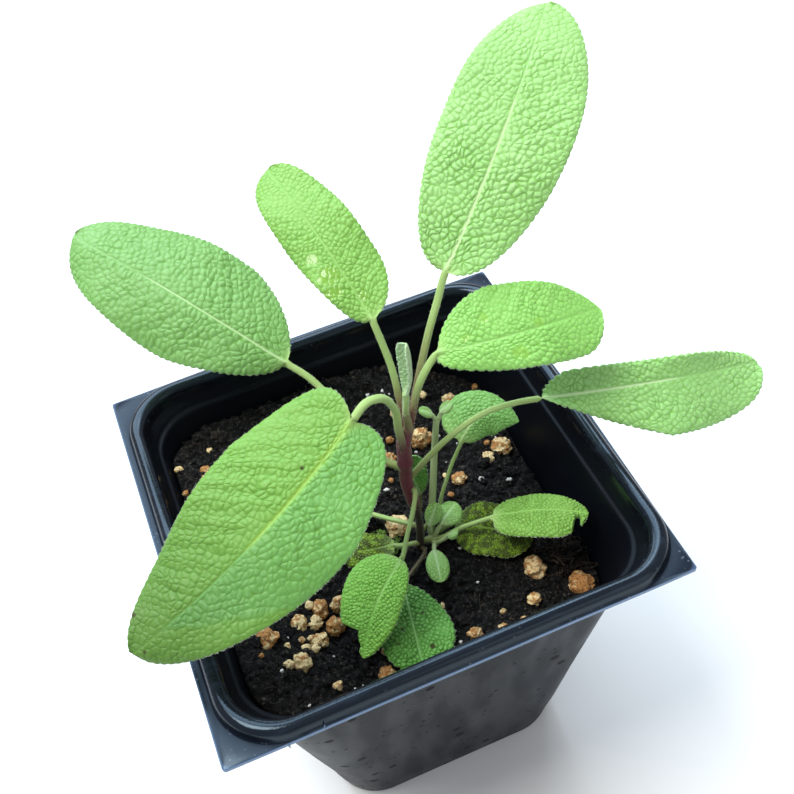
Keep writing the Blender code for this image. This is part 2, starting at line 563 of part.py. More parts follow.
class LeafBuilder:
    """Makes one closed leaf: a six-sided stalk that opens into a pebbled blade with a toothed edge."""

    def __init__(self, plan):
        self.plan = plan
        self.foot = Vector(plan.stalk[-1])
        self.chord = Vector(plan.tip) - self.foot
        self.length = self.chord.length
        self.lean = self.chord.normalized()
        upright = Vector((0.0, 0.0, 1.0))
        if abs(self.lean.z) > STEEP:
            upright = Vector((-self.lean.x, -self.lean.y, 0.0))
        level = (upright - self.lean * upright.dot(self.lean)).normalized()
        roll = math.radians(plan.roll)
        self.normal = level * math.cos(roll) + self.lean.cross(level) * math.sin(roll)
        self.side = self.lean.cross(self.normal)

    def spine(self, u):
        """The point of the midrib at a share of the blade's length."""
        plan = self.plan
        bow = 4.0 * u * (1.0 - u)
        return self.foot + self.chord * u + (self.normal * plan.arch + self.side * plan.sweep) * bow

    def half_width(self, u, sign=0):
        """Width of one half of the blade at a share of its length, rounded towards the foot and the tip."""
        plan = self.plan
        widest = plan.widest + plan.skew * sign
        if u < widest:
            across, power = 1.0 - (1.0 - u / widest) ** plan.foot_power, plan.foot_power
        else:
            across, power = 1.0 - ((u - widest) / (1.0 - widest)) ** plan.tip_power, plan.tip_power
        return 0.5 * plan.width * (1.0 + plan.uneven * sign) * max(across, 0.0) ** (1.0 / power)

    def lobe_shift(self, u, sign):
        """How far one half of the blade reaches back past its foot, at a share of its length."""
        lobe = self.plan.lobes[sign > 0] * (1.0 - climb(u, 0.0, LOBE_END))
        return lobe * self.half_width(u, sign) / (0.5 * self.plan.width)

    def row_places(self):
        """Shares of the length where the rows lie, closer together near the foot and the tip."""
        last = self.plan.rows - 1
        places = []
        for row in range(self.plan.rows):
            t = row / last
            even = 0.5 - 0.5 * math.cos(math.pi * t)
            places.append(ROW_START + (ROW_END - ROW_START) * (ROW_EVEN * t + (1.0 - ROW_EVEN) * even))
        return places

    def side_width(self, row, u, sign):
        """Width of one half, with its teeth, which fade at both ends, and any bite taken out of it."""
        width = max(self.half_width(u, sign), SMALLEST_HALF)
        fade = max(0.0, min(1.0, width / 4.0, u / TOOTH_FADE, (1.0 - u) / TOOTH_FADE))
        width += TOOTH * (0.5 if row % 2 else -0.5) * fade
        for side, start, end, depth in self.plan.bites:
            if side == sign and start < u < end:
                width *= 1.0 - depth
        return max(width, SMALLEST_HALF)

    def blade_row(self, row, u, centre, normal, direction):
        """Top and bottom points of one row of the blade."""
        plan = self.plan
        side = direction.cross(normal)
        count = len(plan.columns)
        fineness = min(1.0, plan.width / 16.0)
        top, bottom = [], []
        for column, across in enumerate(plan.columns):
            sign = -1 if across < 0 else 1
            x = across * self.side_width(row, u, sign)
            share = abs(across)
            height = plan.cup * 0.5 * plan.width * share ** 1.5 * min(1.0, self.half_width(u) / (0.5 * plan.width))
            height += plan.wave * share ** 2 * math.sin(math.tau * plan.waves * u + 1.3 * sign)
            inside = 0 < column < count - 1
            if 2 * column in (count - 2, count):
                height -= MIDRIB_GROOVE
            elif inside:
                relief = PEBBLE * fineness
                height += relief if (row + column) % 2 == 0 else -0.3 * relief
            rib = MIDRIB_DEPTH * (1.0 - u) * fineness if 2 * column in (count - 2, count) else 0.0
            back = self.lobe_shift(u, sign) * share ** 1.5
            point = centre + side * x + normal * height - direction * back
            top.append(point + normal * BLADE_HALF_THICKNESS)
            bottom.append(point - normal * (BLADE_HALF_THICKNESS + rib))
        return top, bottom

    def build(self):
        """Return the leaf's points in metres and its faces."""
        plan = self.plan
        places = self.row_places()
        stalk_points = [Vector(point) for point in plan.stalk]
        stalk = smooth_route([*stalk_points, self.spine(0.12)], STALK_STEPS)[:-STALK_STEPS]
        blade = [self.spine(u) for u in places]
        route = stalk + blade
        directions = tangents(route)
        seat = len(stalk) + len(blade) // 2
        normals = carry_normals(directions, seat, self.normal)
        loops = []
        for index, centre in enumerate(stalk):
            part = index / max(1, len(stalk) - 1)
            radius = plan.stalk_radii[0] + (plan.stalk_radii[1] - plan.stalk_radii[0]) * part
            loops.append(round_loop(centre, directions[index], normals[index], radius, PETIOLE_SIDES))
        vertices, faces = skin(loops, cap_end=False)
        last_ring = list(range(len(vertices) - PETIOLE_SIDES, len(vertices)))
        columns = len(plan.columns)
        first = len(vertices)
        for row, u in enumerate(places):
            index = len(stalk) + row
            top, bottom = self.blade_row(row, u, blade[row], normals[index], directions[index])
            vertices.extend(top)
            vertices.extend(bottom)
        rows = len(places)

        def top_at(row, column):
            return first + row * 2 * columns + column

        def bottom_at(row, column):
            return first + row * 2 * columns + columns + column

        for row in range(rows - 1):
            for column in range(columns - 1):
                for at in (top_at, bottom_at):
                    a, b = at(row, column), at(row, column + 1)
                    c, d = at(row + 1, column + 1), at(row + 1, column)
                    if (row + column) % 2 == 0:
                        faces.extend(((a, b, d), (b, c, d)))
                    else:
                        faces.extend(((a, b, c), (a, c, d)))
            for column in (0, columns - 1):
                faces.append((
                    top_at(row, column), top_at(row + 1, column), bottom_at(row + 1, column), bottom_at(row, column),
                ))
        for column in range(columns - 1):
            faces.append((
                top_at(rows - 1, column), top_at(rows - 1, column + 1),
                bottom_at(rows - 1, column + 1), bottom_at(rows - 1, column),
            ))
        foot_ring = [top_at(0, column) for column in range(columns)]
        foot_ring += [bottom_at(0, column) for column in reversed(range(columns))]
        faces.extend(zip_rings(last_ring, foot_ring))
        return [lifted(point) for point in vertices], faces


def zip_rings(small, large):
    """Triangles between two rings of unlike counts that start at the same side and turn the same way."""
    faces = []
    i = j = 0
    while i < len(small) or j < len(large):
        near, far = small[i % len(small)], large[j % len(large)]
        if j >= len(large) or (i < len(small) and (i + 1) / len(small) <= (j + 1) / len(large)):
            faces.append((near, small[(i + 1) % len(small)], far))
            i += 1
        else:
            faces.append((near, large[(j + 1) % len(large)], far))
            j += 1
    return faces


def build_leaf(plan):
    vertices, faces = LeafBuilder(plan).build()
    material = finish_material(plan.name, plan.colour, 0.55)
    return make_object(plan.name, vertices, faces, material)


def build_tube(name, route_points, start_radius, end_radius, sides):
    """A tapered closed tube through a few points."""
    route = smooth_route([Vector(point) for point in route_points], 3)
    directions = tangents(route)
    normals = carry_normals(directions, 0, Vector((0.3, 0.9, 0.1)))
    loops = []
    for index, centre in enumerate(route):
        radius = start_radius + (end_radius - start_radius) * index / (len(route) - 1)
        ring = round_loop(centre, directions[index], normals[index], radius, sides)
        loops.append([lifted(point) for point in ring])
    return make_object(name, *skin(loops))


def build_shoots():
    """The young shoots at the stem's foot, grown together: a tall pale one and a low cluster."""
    body = build_tube("basal_shoots", SHOOT_ROUTE, 0.85, 0.6, 6)
    body.data.materials.append(finish_material("young_shoot", (0.3, 0.46, 0.2), 0.55))
    pieces = [make_object(plan.name, *LeafBuilder(plan).build()) for plan in SHOOT_LEAVES]
    pieces.append(build_tube("crown", CROWN_ROUTE, CROWN_RADIUS, CROWN_RADIUS, 6))
    fuse(body, pieces)
    return body


def main():
    clear_scene()
    build_pot()
    build_soil()
    build_stem()
    for plan in LEAVES:
        build_leaf(plan)
    build_shoots()


main()
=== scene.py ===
"""Dresses a potted common sage: a fine mesh and a finish for every piece, a camera and soft studio light.

Lengths are millimetres until a mesh is made. Heights are measured from the top of the pot's flange. +X runs
along the pot's front edge and +Y away from the front.
"""
from __future__ import annotations

import logging
import math
from collections.abc import Iterable
from dataclasses import dataclass, field
from enum import Enum

import bmesh
import bpy
import numpy as np
from mathutils import Matrix, Vector

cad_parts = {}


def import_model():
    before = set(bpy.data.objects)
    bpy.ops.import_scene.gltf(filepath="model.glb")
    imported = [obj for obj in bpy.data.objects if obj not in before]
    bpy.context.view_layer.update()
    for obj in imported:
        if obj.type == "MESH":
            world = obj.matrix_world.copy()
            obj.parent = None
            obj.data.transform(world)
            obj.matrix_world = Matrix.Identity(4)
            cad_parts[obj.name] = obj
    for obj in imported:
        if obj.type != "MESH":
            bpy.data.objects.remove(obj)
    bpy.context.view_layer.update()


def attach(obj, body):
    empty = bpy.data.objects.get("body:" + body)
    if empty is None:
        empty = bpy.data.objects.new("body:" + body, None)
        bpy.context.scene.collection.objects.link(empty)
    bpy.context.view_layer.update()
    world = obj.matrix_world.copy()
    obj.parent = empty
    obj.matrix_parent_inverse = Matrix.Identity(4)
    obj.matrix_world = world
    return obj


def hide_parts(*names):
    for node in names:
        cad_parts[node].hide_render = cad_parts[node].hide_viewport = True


LOG = logging.getLogger("sage")
MM = 0.001
POT_HEIGHT = 78.0
BODY = "root"
MOUND_REACH = 0.8
Triple = tuple[float, float, float]
Array = np.ndarray


# Numbers drawn by rule


def lattice_numbers(column: Array, row: Array, salt: Array | int) -> Array:
    """Draw a fixed number for each whole place of a lattice.

    Args:
        column: Whole column numbers.
        row: Whole row numbers.
        salt: Picks one of many unlike lattices.

    Returns:
        Numbers from 0 to 1, the same for the same place on every run.
    """
    mask = 0xFFFFFFFF
    mixed = (column.astype(np.int64) * 374761393 + row.astype(np.int64) * 668265263 + salt * 974711) & mask
    mixed = ((mixed ^ (mixed >> 13)) * 1274126177) & mask
    return ((mixed ^ (mixed >> 16)) & 0xFFFF) / 65535.0


def smooth_noise(x: Array, y: Array, salt: int) -> Array:
    """Blend lattice numbers into smooth noise.

    Args:
        x: Places along the first axis, one lattice cell to the unit.
        y: Places along the second axis.
        salt: Picks the lattice.

    Returns:
        Noise from -1 to 1.
    """
    left, low = np.floor(x), np.floor(y)
    across, up = x - left, y - low
    across = across * across * (3.0 - 2.0 * across)
    up = up * up * (3.0 - 2.0 * up)
    near, far = (
        lattice_numbers(left, row, salt) * (1 - across) + lattice_numbers(left + 1, row, salt) * across
        for row in (low, low + 1)
    )
    return 2.0 * (near * (1 - up) + far * up) - 1.0


def layered_noise(x: Array, y: Array, salt: int, layers: int = 4) -> Array:
    """Add layers of noise from about -1 to 1, each half the size and strength of the one before."""
    total = np.zeros_like(x)
    for layer in range(layers):
        total += smooth_noise(x * 2 ** layer, y * 2 ** layer, salt + layer) / 2 ** (layer + 1)
    return total


def scrambled(column: Array, row: Array, *more: float) -> Array:
    """Draw the number that the shader's own cell pattern gives a cell.

    Args:
        column: Whole column numbers.
        row: Whole row numbers.
        more: One further number, to draw again for the same cell.

    Returns:
        Numbers from 0 to 1.
    """
    mask = np.uint64(0xFFFFFFFF)
    spread = [np.asarray(value + np.zeros(column.shape), np.float32) for value in (column, row, *more)]
    keys = [value.view(np.uint32).astype(np.uint64) for value in spread]
    seed = np.uint64((0xDEADBEEF + 4 * len(keys) + 13) & 0xFFFFFFFF)
    words = [(seed + key) & mask for key in keys]
    words.extend([np.full(column.shape, seed)] * (3 - len(words)))
    target, source = 2, 1
    for turn in (14, 11, 25, 16, 4, 14, 24):
        turned = ((words[source] << np.uint64(turn)) | (words[source] >> np.uint64(32 - turn))) & mask
        words[target] = ((words[target] ^ words[source]) - turned) & mask
        target, source = (target + 1) % 3, target
    return words[2] / 0xFFFFFFFF


def pebble_cells(x: Array, y: Array, jitter: float = 0.8) -> tuple[Array, Array, Array]:
    """Find the two nearest of a scatter of points, one to each cell, as the shader's cell pattern does.

    Args:
        x: Places along the first axis, one cell to the unit.
        y: Places along the second axis.
        jitter: How far the points stray across their cells, from 0 to 1.

    Returns:
        The distances to the nearest and the second nearest point, and a number from 0 to 1 for the nearest.
    """
    column, row = np.floor(x), np.floor(y)
    first = np.full(x.shape, 9.0)
    second = np.full(x.shape, 9.0)
    tone = np.zeros(x.shape)
    for step_x in (-1, 0, 1):
        for step_y in (-1, 0, 1):
            cell_x, cell_y = column + step_x + 0.0, row + step_y + 0.0
            point_x = cell_x + jitter * scrambled(cell_x, cell_y)
            point_y = cell_y + jitter * scrambled(cell_x, cell_y, 1.0)
            away = np.hypot(point_x - x, point_y - y)
            nearer = away < first
            second = np.where(nearer, first, np.minimum(second, away))
            tone = np.where(nearer, scrambled(cell_x, cell_y, 2.0), tone)
            first = np.where(nearer, away, first)
    return first, second, tone


def rise(value: Array, start: float, end: float) -> Array:
    """Climb smoothly from 0 at start to 1 at end."""
    part = np.clip((value - start) / (end - start), 0.0, 1.0)
    return part * part * (3.0 - 2.0 * part)


def mound(away: Array, power: int) -> Array:
    """Height of a round mound, from 1 in its middle to 0 at MOUND_REACH from there."""
    return 1.0 - np.clip(away / MOUND_REACH, 0.0, 1.0) ** power


# Curves and meshes


def smooth_route(points: Array, steps: int) -> Array:
    """Sample a smooth curve through a few points.

    Args:
        points: The points, one to a row.
        steps: How many samples each span gets.

    Returns:
        The samples, one to a row, with the last point at the end.
    """
    padded = np.vstack([2 * points[0] - points[1], points, 2 * points[-1] - points[-2]])
    t = (np.arange(steps) / steps)[:, None]
    spans = []
    for before, start, end, after in zip(padded, padded[1:], padded[2:], padded[3:]):
        spans.append(0.5 * (
            2 * start + (end - before) * t + (2 * before - 5 * start + 4 * end - after) * t ** 2
            + (3 * start - before - 3 * end + after) * t ** 3
        ))
    return np.vstack([*spans, points[-1:]])


def directions_of(route: Array) -> Array:
    """Unit direction of a route at each of its points."""
    steps = np.vstack([route[1] - route[0], route[2:] - route[:-2], route[-1] - route[-2]])
    return steps / np.linalg.norm(steps, axis=1)[:, None]


def carried_normals(directions: Array, seat: int, normal: Array) -> Array:
    """Carry a normal along a route without twist, both ways from one point.

    Args:
        directions: Unit directions along the route.
        seat: The point where the normal is known.
        normal: The normal there.

    Returns:
        A unit normal for each point.
    """
    normals = np.zeros_like(directions)
    for order in (range(seat, len(directions)), range(seat, -1, -1)):
        current = np.array(normal, float)
        for index in order:
            current = current - directions[index] * current.dot(directions[index])
            current /= np.linalg.norm(current)
            normals[index] = current
    return normals


def ring_band(first: int, rows: int, columns: int) -> Array:
    """Join rings of points, numbered from first, into a band of four-sided faces, one to a row."""
    row, column = np.meshgrid(np.arange(rows - 1), np.arange(columns), indexing="ij")
    near = first + row * columns + column
    beside = first + row * columns + (column + 1) % columns
    return np.stack([near, beside, beside + columns, near + columns], axis=-1).reshape(-1, 4)


def grid_band(first: int, rows: int, columns: int, flip: bool = False) -> Array:
    """Join a grid of points, numbered from first, into four-sided faces; flip turns them over."""
    row, column = np.meshgrid(np.arange(rows - 1), np.arange(columns - 1), indexing="ij")
    near = first + row * columns + column
    faces = np.stack([near, near + 1, near + columns + 1, near + columns], axis=-1).reshape(-1, 4)
    return faces[:, ::-1] if flip else faces


def zip_rings(small: Array, large: Array) -> Array:
    """Join two rings of unlike counts that start on the same side and turn the same way.

    Args:
        small: Point numbers of the ring with fewer points.
        large: Point numbers of the ring with more.

    Returns:
        Triangles, one to a row.
    """
    faces = []
    i = j = 0
    while i < len(small) or j < len(large):
        near, far = small[i % len(small)], large[j % len(large)]
        if j >= len(large) or (i < len(small) and (i + 1) / len(small) <= (j + 1) / len(large)):
            faces.append((near, small[(i + 1) % len(small)], far))
            i += 1
        else:
            faces.append((near, large[(j + 1) % len(large)], far))
            j += 1
    return np.array(faces)


@dataclass
class Shape:
    """A mesh in the making: points in millimetres, faces, and mask values for each point."""

    points: Array
    faces: list[Array]
    masks: dict[str, Array] = field(default_factory=dict)

    @classmethod
    def joined(cls, shapes: list[Shape]) -> Shape:
        """Put several shapes with the same masks in one."""
        faces = []
        first = 0
        for shape in shapes:
            faces.extend(band + first for band in shape.faces)
            first += len(shape.points)
        masks = {name: np.concatenate([shape.masks[name] for shape in shapes]) for name in shapes[0].masks}
        return cls(np.vstack([shape.points for shape in shapes]), faces, masks)

    def make(self, name: str, material: bpy.types.Material, sharp: float | None = None) -> bpy.types.Object:
        """Turn the shape into an object of the scene.

        Args:
            name: The object's name.
            material: Its finish.
            sharp: The angle in degrees past which an edge stays sharp, or None to round every edge.

        Returns:
            The object, with its faces turned outwards.
        """
        mesh = bpy.data.meshes.new(name)
        points = (self.points + np.array((0.0, 0.0, POT_HEIGHT))) * MM
        mesh.from_pydata(points.tolist(), [], [face for band in self.faces for face in band.tolist()])
        for mask, values in self.masks.items():
            layer = mesh.attributes.new(mask, "FLOAT", "POINT")
            layer.data.foreach_set("value", np.asarray(values, np.float32).ravel())
        body = bmesh.new()
        body.from_mesh(mesh)
        bmesh.ops.recalc_face_normals(body, faces=body.faces)
        body.to_mesh(mesh)
        body.free()
        mesh.shade_smooth()
        if sharp is not None:
            mesh.set_sharp_from_angle(angle=math.radians(sharp))
        mesh.materials.append(material)
        item = bpy.data.objects.new(name, mesh)
        bpy.context.scene.collection.objects.link(item)
        return item


def tube(route: Array, radii: Array, sides: int, start_normal: Triple = (0.3, 0.9, 0.1)) -> Shape:
    """Make a closed tube along a route.

    Args:
        route: Its centre points.
        radii: Its radius at each of them.
        sides: How many sides it has.
        start_normal: A direction that the first ring's top turns towards.

    Returns:
        The tube, with a mask called along that runs from 0 to 1.
    """
    directions = directions_of(route)
    normals = carried_normals(directions, 0, np.array(start_normal))
    angles = math.tau * np.arange(sides) / sides
    across = np.cross(directions, normals)
    rings = (
        route[:, None] + across[:, None] * (radii[:, None] * np.cos(angles))[..., None]
        + normals[:, None] * (radii[:, None] * np.sin(angles))[..., None]
    )
    count = len(route)
    ends = [np.arange(sides)[None], (np.arange(sides) + (count - 1) * sides)[None]]
    along = np.repeat(np.linspace(0.0, 1.0, count), sides)
    return Shape(rings.reshape(-1, 3), [ring_band(0, count, sides), *ends], {"along": along})


# Shader maths


class Reading:
    """A shader socket whose arithmetic adds Math nodes to its graph."""

    def __init__(self, graph: Graph, socket: bpy.types.NodeSocket) -> None:
        """Wrap one output socket of a graph."""
        self.graph = graph
        self.socket = socket

    def math(self, operation: str, *values: Reading | float) -> Reading:
        """Add one Math node with this operation and these inputs, and read its result."""
        return self.graph.add("ShaderNodeMath", {"operation": operation}, dict(enumerate(values)))

    def __add__(self, other: Reading | float) -> Reading:
        """Sum with another value."""
        return self.math("ADD", self, other)

    def __mul__(self, other: Reading | float) -> Reading:
        """Product with another value."""
        return self.math("MULTIPLY", self, other)

    def __sub__(self, other: Reading | float) -> Reading:
        """This value less another."""
        return self.math("SUBTRACT", self, other)

    def __rsub__(self, other: float) -> Reading:
        """A number less this value."""
        return self.math("SUBTRACT", other, self)

    __radd__ = __add__
    __rmul__ = __mul__

    def between(self, start: float, end: float) -> Reading:
        """Climb smoothly from 0 where this value is start to 1 where it is end, and no further."""
        return self.graph.add(
            "ShaderNodeMapRange", {"interpolation_type": "SMOOTHSTEP"},
            {"Value": self, "From Min": start, "From Max": end},
        )


class Graph:
    """The node tree of one material, built round a Principled shader."""

    def __init__(self, name: str) -> None:
        """Start a material of this name."""
        self.material = bpy.data.materials.new(name)
        self.material.use_nodes = True
        self.tree = self.material.node_tree
        self.shader = self.tree.nodes["Principled BSDF"]

    def add(
        self, kind: str, settings: dict[str, object] | None = None,
        sockets: dict[int | str, object] | None = None, output: int | str = 0,
    ) -> Reading:
        """Add a node.

        Args:
            kind: The node's type.
            settings: Its properties, set before its sockets.
            sockets: Values or readings for its inputs.
            output: Which of its outputs to read.

        Returns:
            A reading of that output.
        """
        node = self.tree.nodes.new(kind)
        for name, value in (settings or {}).items():
            setattr(node, name, value)
        for name, value in (sockets or {}).items():
            self.feed(node.inputs[name], value)
        return Reading(self, node.outputs[output])

    def feed(self, socket: bpy.types.NodeSocket, value: object) -> None:
        """Link a reading to a socket, or set the socket's own value."""
        if isinstance(value, Reading):
            self.tree.links.new(value.socket, socket)
        elif isinstance(value, tuple) and socket.type == "RGBA":
            socket.default_value = (*value[:3], 1.0)
        else:
            socket.default_value = value

    def dress(self, shader: bpy.types.Node, sockets: dict[str, object]) -> None:
        """Set a shader's sockets, named with underscores for spaces."""
        for name, value in sockets.items():
            self.feed(shader.inputs[name.replace("_", " ")], value)

    def finish(self, **sockets: object) -> bpy.types.Material:
        """Set the main shader's sockets and hand over the material."""
        self.dress(self.shader, sockets)
        return self.material

    def cover(self, share: Reading, **sockets: object) -> None:
        """Lay a second shader, with these sockets, over a share of the first."""
        first, second = Reading(self, self.shader.outputs[0]), self.add("ShaderNodeBsdfPrincipled")
        self.dress(second.socket.node, sockets)
        mix = self.add("ShaderNodeMixShader", sockets={0: share, 1: first, 2: second})
        self.feed(self.tree.nodes["Material Output"].inputs["Surface"], mix)

    def mask(self, name: str) -> Reading:
        """Read a mask of the mesh."""
        return self.add("ShaderNodeAttribute", {"attribute_name": name}, output="Fac")

    def places(self) -> Reading:
        """Read the surface's own coordinates, in metres."""
        return self.add("ShaderNodeTexCoord", output="Object")

    def stretched(self, scale: Triple) -> Reading:
        """Read the surface's own coordinates, scaled along each axis."""
        return self.add("ShaderNodeVectorMath", {"operation": "MULTIPLY"}, {0: self.places(), 1: scale})

    def noise(
        self, scale: float, detail: float = 3.0, rough: float = 0.55, where: Reading | None = None,
    ) -> Reading:
        """Add noise round 0.5, of so many cells to the metre, at the surface's own places or at where."""
        sockets = {"Vector": where or self.places(), "Scale": scale, "Detail": detail, "Roughness": rough}
        return self.add("ShaderNodeTexNoise", sockets=sockets)

    def spots(self, scale: float) -> Reading:
        """Add a scatter of points, so many to the metre, and read how many cells away the nearest is."""
        sockets = {"Vector": self.places(), "Scale": scale}
        return self.add("ShaderNodeTexVoronoi", {"feature": "F1"}, sockets, "Distance")

    def blend(self, share: Reading | float, first: Reading | Triple, second: Reading | Triple) -> Reading:
        """Mix two colours: share is how much of the second shows."""
        return self.add(
            "ShaderNodeMix", {"data_type": "RGBA", "clamp_factor": True},
            {"Factor": share, 6: first, 7: second}, 2,
        )

    def bump(self, height: Reading, depth: float, strength: float = 1.0) -> Reading:
        """Turn a height from 0 to 1, standing for a depth in millimetres, into a normal."""
        sockets = {"Height": height, "Distance": depth * MM, "Strength": strength}
        return self.add("ShaderNodeBump", sockets=sockets)


# Finishes


def toned(colour: Triple, *shares: float) -> Triple:
    """Scale a colour, by one share or by one for each of its parts."""
    parts = shares * 3 if len(shares) == 1 else shares
    return tuple(min(1.0, value * part) for value, part in zip(colour, parts))


@dataclass(frozen=True)
class LeafFinish:
    """Colours of a downy, pebbled sage leaf, with painted shade in its creases and painted highlights on
    its pebbles.
    """

    name: str
    crest: Triple
    rib: Triple = (0.5, 0.7, 0.3)
    under: Triple = (0.4, 0.55, 0.26)
    stalk: Triple = (0.34, 0.5, 0.16)
    stalk_foot: Triple = (0.22, 0.27, 0.08)
    blush: tuple[float, float] = (0.3, 0.9)
    streaks: float = 0.0
    blotch: Triple = (0.12, 0.1, 0.02)
    blotch_share: float = 0.0
    # The crease colour gives the creases a more saturated yellow-green and darkens them; the darkening is
    # painted shade.
    crease: Triple = (0.6, 0.72, 0.25)
    crease_depth: float = 0.14
    crease_share: float = 0.55
    warm_side: float = 0.0
    # Below 1, the tip tone darkens the blade towards its tip as painted shade.
    shaded_tip_tone: float = 1.0
    sheen: float = 0.08

    JITTER = 0.75
    RIGHT_HALF = (20.0, 21.0)
    # Colour of the painted shade towards the tip.
    TIP_SHADE_COLOUR = (0.0, 0.01, 0.0)
    SPOT = (0.05, 0.06, 0.012)
    STREAK = (0.12, 0.035, 0.035)

    def material(self) -> bpy.types.Material:
        """Build the leaf's material, or find it if it is there.

        Returns:
            A material that reads the leaf's masks.
        """
        found = bpy.data.materials.get(self.name)
        if found:
            return found
        graph = Graph(self.name)
        net, dome, rib, wet = graph.mask("net"), graph.mask("dome"), graph.mask("rib"), graph.mask("wet")
        run = graph.mask("run")
        where = graph.add("ShaderNodeCombineXYZ", sockets={"X": run, "Y": graph.mask("branch")})
        edge = graph.add(
            "ShaderNodeTexVoronoi", {"voronoi_dimensions": "2D", "feature": "DISTANCE_TO_EDGE"},
            {"Vector": where, "Scale": 1.0, "Randomness": self.JITTER}, "Distance",
        )
        patch = graph.noise(95.0, 3.0)
        grain = graph.noise(2600.0, 2.0)
        beads = graph.spots(2300.0)
        crease_colour_and_shade = toned(self.crest, *self.crease)
        patchy = graph.noise(420.0, 2.0).between(0.3, 0.6)
        calm = graph.mask("calm")
        crease_shade_lines = (1.0 - edge.between(0.02, 0.14)) * (0.35 + 0.65 * patchy) * calm
        crest = graph.blend(patch.between(0.52, 0.7) * 0.6, self.crest, toned(self.crest, 0.78, 0.84, 0.7))
        crest = graph.blend(patch.between(0.46, 0.32) * 0.5, crest, toned(self.crest, 1.25, 1.12, 1.35))
        crest = graph.blend(graph.mask("cell") * 0.3, crest, toned(self.crest, 1.22, 1.16, 1.3))
        # Painted highlight: the pebbles' middles, away from the crease lines, turn paler and bluer.
        crest = graph.blend(edge.between(0.12, 0.42) * 0.3, crest, toned(self.crest, 1.22, 1.12, 1.4))
        side = run.between(*self.RIGHT_HALF)
        crest = graph.blend(side * self.warm_side, crest, toned(self.crest, 1.12, 1.0, 0.62))
        crest = graph.blend((1.0 - side) * self.warm_side, crest, toned(self.crest, 0.86, 1.0, 1.5))
        # Painted shade: the hollows off the pebbles' domes are darker.
        low = graph.blend(dome.between(0.0, 0.6), toned(self.crest, 0.8, 0.88, 0.66), crest)
        # The vein net and the crease lines take the crease colour: partly their own yellow-green, partly
        # painted shade.
        colour = graph.blend(net.between(0.35, 1.0) * 0.3, low, crease_colour_and_shade)
        colour = graph.blend(crease_shade_lines * self.crease_share, colour, crease_colour_and_shade)
        colour = graph.blend(grain.between(0.5, 0.75) * 0.14, colour, toned(self.crest, 1.7, 1.35, 2.0))
        # Painted shade: when the tip tone is below 1, the blade darkens towards its tip.
        near_tip = graph.mask("reach").between(0.25, 1.0)
        colour = graph.blend(near_tip * (1.0 - self.shaded_tip_tone), colour, self.TIP_SHADE_COLOUR)
        if self.blotch_share > 0.0:
            start, end = 0.62 - 0.3 * self.blotch_share, 0.7 - 0.2 * self.blotch_share
            colour = graph.blend(graph.noise(700.0, 4.0).between(start, end) * 0.85, colour, self.blotch)
        colour = graph.blend(graph.mask("spot"), colour, self.SPOT)
        colour = graph.blend(graph.mask("under") * 0.85, colour, self.under)
        colour = graph.blend(rib * 0.85, colour, self.rib)
        foot = graph.mask("foot")
        stalk = graph.blend(foot.between(*self.blush), self.stalk, self.stalk_foot)
        streak = graph.noise(1.0, 3.0, 0.6, graph.stretched((1300.0, 1300.0, 300.0))).between(0.5, 0.6)
        stalk = graph.blend(streak * foot.between(0.3, 0.8) * self.streaks, stalk, self.STREAK)
        colour = graph.blend(graph.mask("stalk"), colour, stalk)
        blade = (1.0 - graph.mask("stalk")) * (1.0 - 0.9 * wet) * calm
        height = edge.between(0.0, 0.3) * blade * (0.5 + 0.5 * patchy) + 0.18 * grain + 0.16 * (1.0 - beads)
        return graph.finish(
            Base_Color=graph.blend(wet * 0.4, colour, toned(self.crest, 0.9, 0.8, 0.25)),
            Roughness=0.56 - 0.08 * dome - 0.28 * wet,
            Coat_Weight=wet * 0.3,
            Coat_Roughness=0.18,
            Sheen_Weight=self.sheen,
            Sheen_Roughness=0.45,
            Sheen_Tint=(0.9, 1.0, 0.85),
            Specular_IOR_Level=0.35,
            Normal=graph.bump(height, self.crease_depth, 0.85),
        )


@dataclass(frozen=True)
class StemFinish:
    """The main stem: purple above, dark at its foot, with a soft shine."""

    name: str = "purple_stem"
    upper: Triple = (0.15, 0.02, 0.042)
    lower: Triple = (0.018, 0.016, 0.009)
    tip: Triple = (0.2, 0.2, 0.07)

    def material(self) -> bpy.types.Material:
        """Build the stem's material, which reads the mask along."""
        graph = Graph(self.name)
        along = graph.mask("along")
        streak = graph.noise(1.0, 3.0, 0.6, graph.stretched((1500.0, 1500.0, 260.0)))
        colour = graph.blend(along.between(0.3, 0.4), self.lower, self.upper)
        colour = graph.blend(along.between(0.76, 0.92), colour, self.tip)
        colour = graph.blend(streak.between(0.42, 0.72) * 0.55, colour, toned(self.upper, 0.45))
        return graph.finish(
            Base_Color=colour,
            Roughness=0.36 + 0.25 * streak,
            Sheen_Weight=0.15,
            Normal=graph.bump(streak, 0.12, 0.6),
        )


